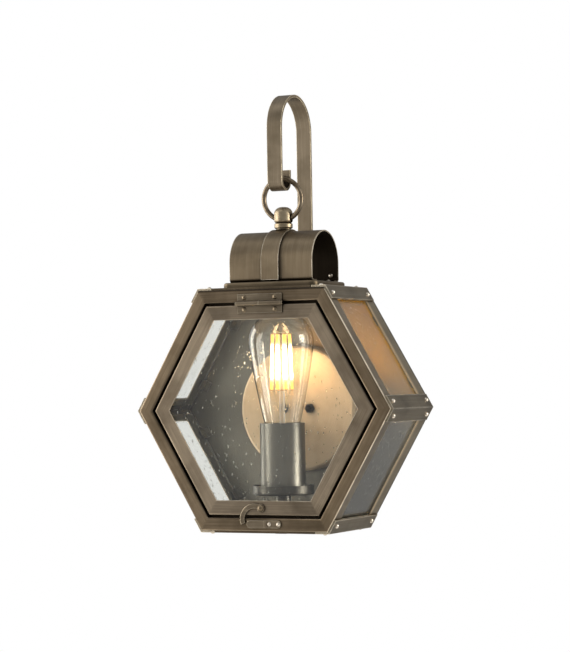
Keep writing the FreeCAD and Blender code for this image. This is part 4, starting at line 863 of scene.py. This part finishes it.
# %% Lamp glass and glow
def lamp_glass_material(name, roughness):
    """Thin blown glass; the stem inside is a little dull from the flame."""
    material, tree, shader = new_material(name, roughness)
    shader.inputs["Base Color"].default_value = colour("#fffefb")
    shader.inputs["Transmission Weight"].default_value = 1.0
    shader.inputs["IOR"].default_value = 1.5
    position = add(tree, "TexCoord", out="Object")
    waves = add(tree, "TexNoise", {"Vector": position, "Scale": 1 / (14 * MM), "Detail": 2.0})
    bump = add(tree, "Bump", {"Strength": 0.3, "Distance": 0.1 * MM, "Height": waves}, out="Normal")
    feed(tree, shader, {"Normal": bump})
    return material


def glow_material(name, middle, ends, strengths):
    """Coating of a lit stick, white-hot in the middle and gold towards its ends."""
    material, tree, shader = new_material(name, 0.6)
    shader.inputs["Base Color"].default_value = colour("#e8c070")
    low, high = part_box("bulb_filaments")
    height = add(tree, "SeparateXYZ", {0: add(tree, "TexCoord", out="Object")}, out=2)
    place = add(tree, "MapRange", {0: height, 1: low.z, 2: high.z, 3: -1.0, 4: 1.0})
    away = add(tree, "Math", {0: place}, operation="ABSOLUTE")
    end = add(tree, "MapRange", {0: away, 1: 0.45, 2: 0.85, 3: 0.0, 4: 1.0},
              interpolation_type="SMOOTHSTEP")
    core = add(tree, "Math", {0: 1.0, 1: end}, operation="SUBTRACT")
    fade = add(tree, "Math", {0: core, 1: 3.0}, operation="POWER")
    power = add(tree, "MapRange", {0: fade, 1: 0.0, 2: 1.0, 3: strengths[1], 4: strengths[0]})
    feed(tree, shader, {"Emission Color": lay_over(tree, middle, ends, end),
                        "Emission Strength": power})
    return material


dress(lamp_glass_material("blown_lamp_glass", 0.0), ["bulb_envelope"])
dress(lamp_glass_material("fired_stem_glass", 0.30), ["bulb_stem"])
for name in ("bulb_envelope", "bulb_stem"):
    nodes[name].visible_shadow = False
dress(glow_material("lit_filament_coating", "#ffe0b2", "#ffb545", (19.5, 1.3)), ["bulb_filaments"])
print("lamp lit")

# %% [markdown]
# ## Wires in the lamp
# Fine wires hold the sticks: from each top end one bends over to the rod, and two lead the
# current up from the pinched end of the stem. A curve with a round profile would do. A tube of
# rings pulled along a few points is as simple, and the threads of the studs can use it too.

# %% Tubes along points
def round_loop(radius, sides):
    """Points of a circle in the XY plane."""
    turns = [2 * math.pi * k / sides for k in range(sides)]
    return [Vector((math.cos(a), math.sin(a), 0)) * radius for a in turns]


def skin_loops(shape, loops):
    """Faces between rings of vertices, closed at both ends."""
    sides = len(loops[0])
    for low, high in zip(loops, loops[1:]):
        for k in range(sides):
            shape.faces.new((low[k], low[(k + 1) % sides], high[(k + 1) % sides], high[k]))
    shape.faces.new(loops[0][::-1])
    shape.faces.new(loops[-1])


def tube(shape, points, radius, sides=8):
    """Round bar through points."""
    loops = []
    for i, point in enumerate(points):
        ahead = points[min(i + 1, len(points) - 1)] - points[max(i - 1, 0)]
        turn = ahead.to_track_quat("Z", "Y")
        loops.append([shape.verts.new(point + turn @ corner) for corner in round_loop(radius, sides)])
    skin_loops(shape, loops)


# %% [markdown]
# The bends are written in millimetres from the end of a stick: how far up and how far inward the
# top wires go, and how far out and how far down the two leads go.

# %% Lamp wires
STICKS = 8
STICK_RING = 9.0 * MM  # radius at which the sticks end at the top
TOP_BEND = ((0, 0), (2.2, 0.1), (3.8, 0.6), (4.6, 1.6), (4.6, 2.6), (3.6, 3.6), (2.0, 4.2), (0.6, 4.4))
LEAD_BEND = ((9.5, -1.2), (8.0, -4.0), (5.5, -8.0), (4.6, -13.0), (4.4, -18.0))
TOP_WIRE, LEAD_WIRE = 0.38 * MM, 0.45 * MM
sticks_low, sticks_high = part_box("bulb_filaments")
lamp_axis = (sticks_low + sticks_high) / 2
crown = Vector((lamp_axis.x, lamp_axis.y, sticks_high.z))
foot = Vector((lamp_axis.x, lamp_axis.y, sticks_low.z))
wires = bmesh.new()
for i in range(STICKS):
    turn = 2 * math.pi * i / STICKS
    out = Vector((math.cos(turn), math.sin(turn), 0))
    start = crown + out * STICK_RING
    tube(wires, [start + Vector((0, 0, rise * MM)) - out * inward * MM for rise, inward in TOP_BEND],
         TOP_WIRE)
for side in (-1, 1):
    tube(wires, [foot + Vector((side * reach * MM, 0, rise * MM)) for reach, rise in LEAD_BEND],
         LEAD_WIRE)
smooth_piece("lamp_wires", wires, nodes["bulb_supports"].material_slots[0].material, "lantern")

# %% [markdown]
# ## Rivets in the chimney
# Low on the rear wall inside the chimney sit two bright rivet heads. A head is rings that shrink
# along a quarter of an ellipse, from the wall to the top of the dome.

# %% Rivet heads
SHEET = 1.2 * MM
HEAD_X, HEAD_UP = 36 * MM, 6.5 * MM
HEAD_R, HEAD_HEIGHT = 2.2 * MM, 1.4 * MM
HEAD_SIDES, HEAD_STEPS = 20, 6


def dome(shape, base, out):
    """Rivet head on a wall that faces out."""
    turn = out.to_track_quat("Z", "Y")
    loops = []
    for k in range(HEAD_STEPS):
        lift = math.pi / 2 * k / HEAD_STEPS
        rise = Vector((0, 0, HEAD_HEIGHT * math.sin(lift)))
        ring = round_loop(HEAD_R * math.cos(lift), HEAD_SIDES)
        loops.append([shape.verts.new(base + turn @ (corner + rise)) for corner in ring])
    skin_loops(shape, loops)


heads = bmesh.new()
for side in (-1, 1):
    dome(heads, Vector((side * HEAD_X, ARCH_HIGH.y - SHEET, ARCH_LOW.z + HEAD_UP)), Vector((0, -1, 0)))
smooth_piece("chimney_wall_rivets", heads, nodes["chimney_rivets"].material_slots[0].material,
             "lantern")

# %% [markdown]
# ## Stud threads
# The lantern hangs on two threaded studs of the wall bracket. The thread of a screw is a ridge
# wound round it like a spring, so it is a thin tube along a coil, at the pitch of a 4 mm screw.

# %% Stud threads
PITCH = 0.7 * MM
COIL_STEPS = 14
RIDGE, RIDGE_SIDES = 0.18 * MM, 5
BARE_REAR, BARE_BOTH = 2 * MM, 8 * MM  # lengths without thread: at the rear, and at both ends
studs_low, studs_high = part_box("bracket_studs")
stud_r = (studs_high.z - studs_low.z) / 2
coil_points = int((studs_high.y - studs_low.y - BARE_BOTH) / PITCH) * COIL_STEPS
threads = bmesh.new()
for x in (studs_low.x + stud_r, studs_high.x - stud_r):
    coil = []
    for k in range(coil_points):
        a = 2 * math.pi * k / COIL_STEPS
        y = studs_high.y - BARE_REAR - PITCH * k / COIL_STEPS
        coil.append(Vector((x + stud_r * math.cos(a), y, stud_r * math.sin(a))))
    tube(threads, coil, RIDGE, RIDGE_SIDES)
STEEL = nodes["bracket_studs"].material_slots[0].material
smooth_piece("stud_threads", threads, STEEL, "lantern")

# %% [markdown]
# ## Terminal screws
# Two slotted screws clamp the wires in the terminal block. A slot could be cut with a boolean.
# Here each head is a disc with two half discs on it, and the gap between them is the slot.

# %% Terminal screws
SCREW_R, SCREW_SLOT, SCREW_HEAD = 1.6 * MM, 0.5 * MM, 1.0 * MM
SCREW_SINK = 1.5 * MM
HALF_DISC_R = SCREW_R - SCREW_SLOT / 2
ARC_STEPS, RIM_SIDES = 12, 24
LAYER = Vector((0, SCREW_HEAD, 0))


def plate(shape, outline):
    """Flat piece one head thick, behind an outline."""
    front = [shape.verts.new(p) for p in outline]
    back = [shape.verts.new(p - LAYER) for p in outline]
    shape.faces.new(front)
    shape.faces.new(back[::-1])
    for k in range(len(outline)):
        after = (k + 1) % len(outline)
        shape.faces.new((front[k], back[k], back[after], front[after]))


block_low, block_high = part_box("terminal_block")
screws = bmesh.new()
for part in (0.25, 0.75):
    centre = Vector((block_low.x + (block_high.x - block_low.x) * part, block_high.y - SCREW_SINK,
                     (block_low.z + block_high.z) / 2))
    for half in (0, math.pi):
        shift = Vector((0, 0, math.cos(half))) * SCREW_SLOT / 2
        turns = [half + math.pi * k / ARC_STEPS for k in range(ARC_STEPS + 1)]
        plate(screws, [centre + shift + Vector((math.cos(a), 0, math.sin(a))) * HALF_DISC_R
                       for a in turns])
    turns = [2 * math.pi * k / RIM_SIDES for k in range(RIM_SIDES)]
    plate(screws, [centre - LAYER + Vector((math.cos(a), 0, math.sin(a))) * SCREW_R for a in turns])
bmesh.ops.recalc_face_normals(screws, faces=screws.faces)
smooth_piece("terminal_screws", screws, STEEL, "lantern")
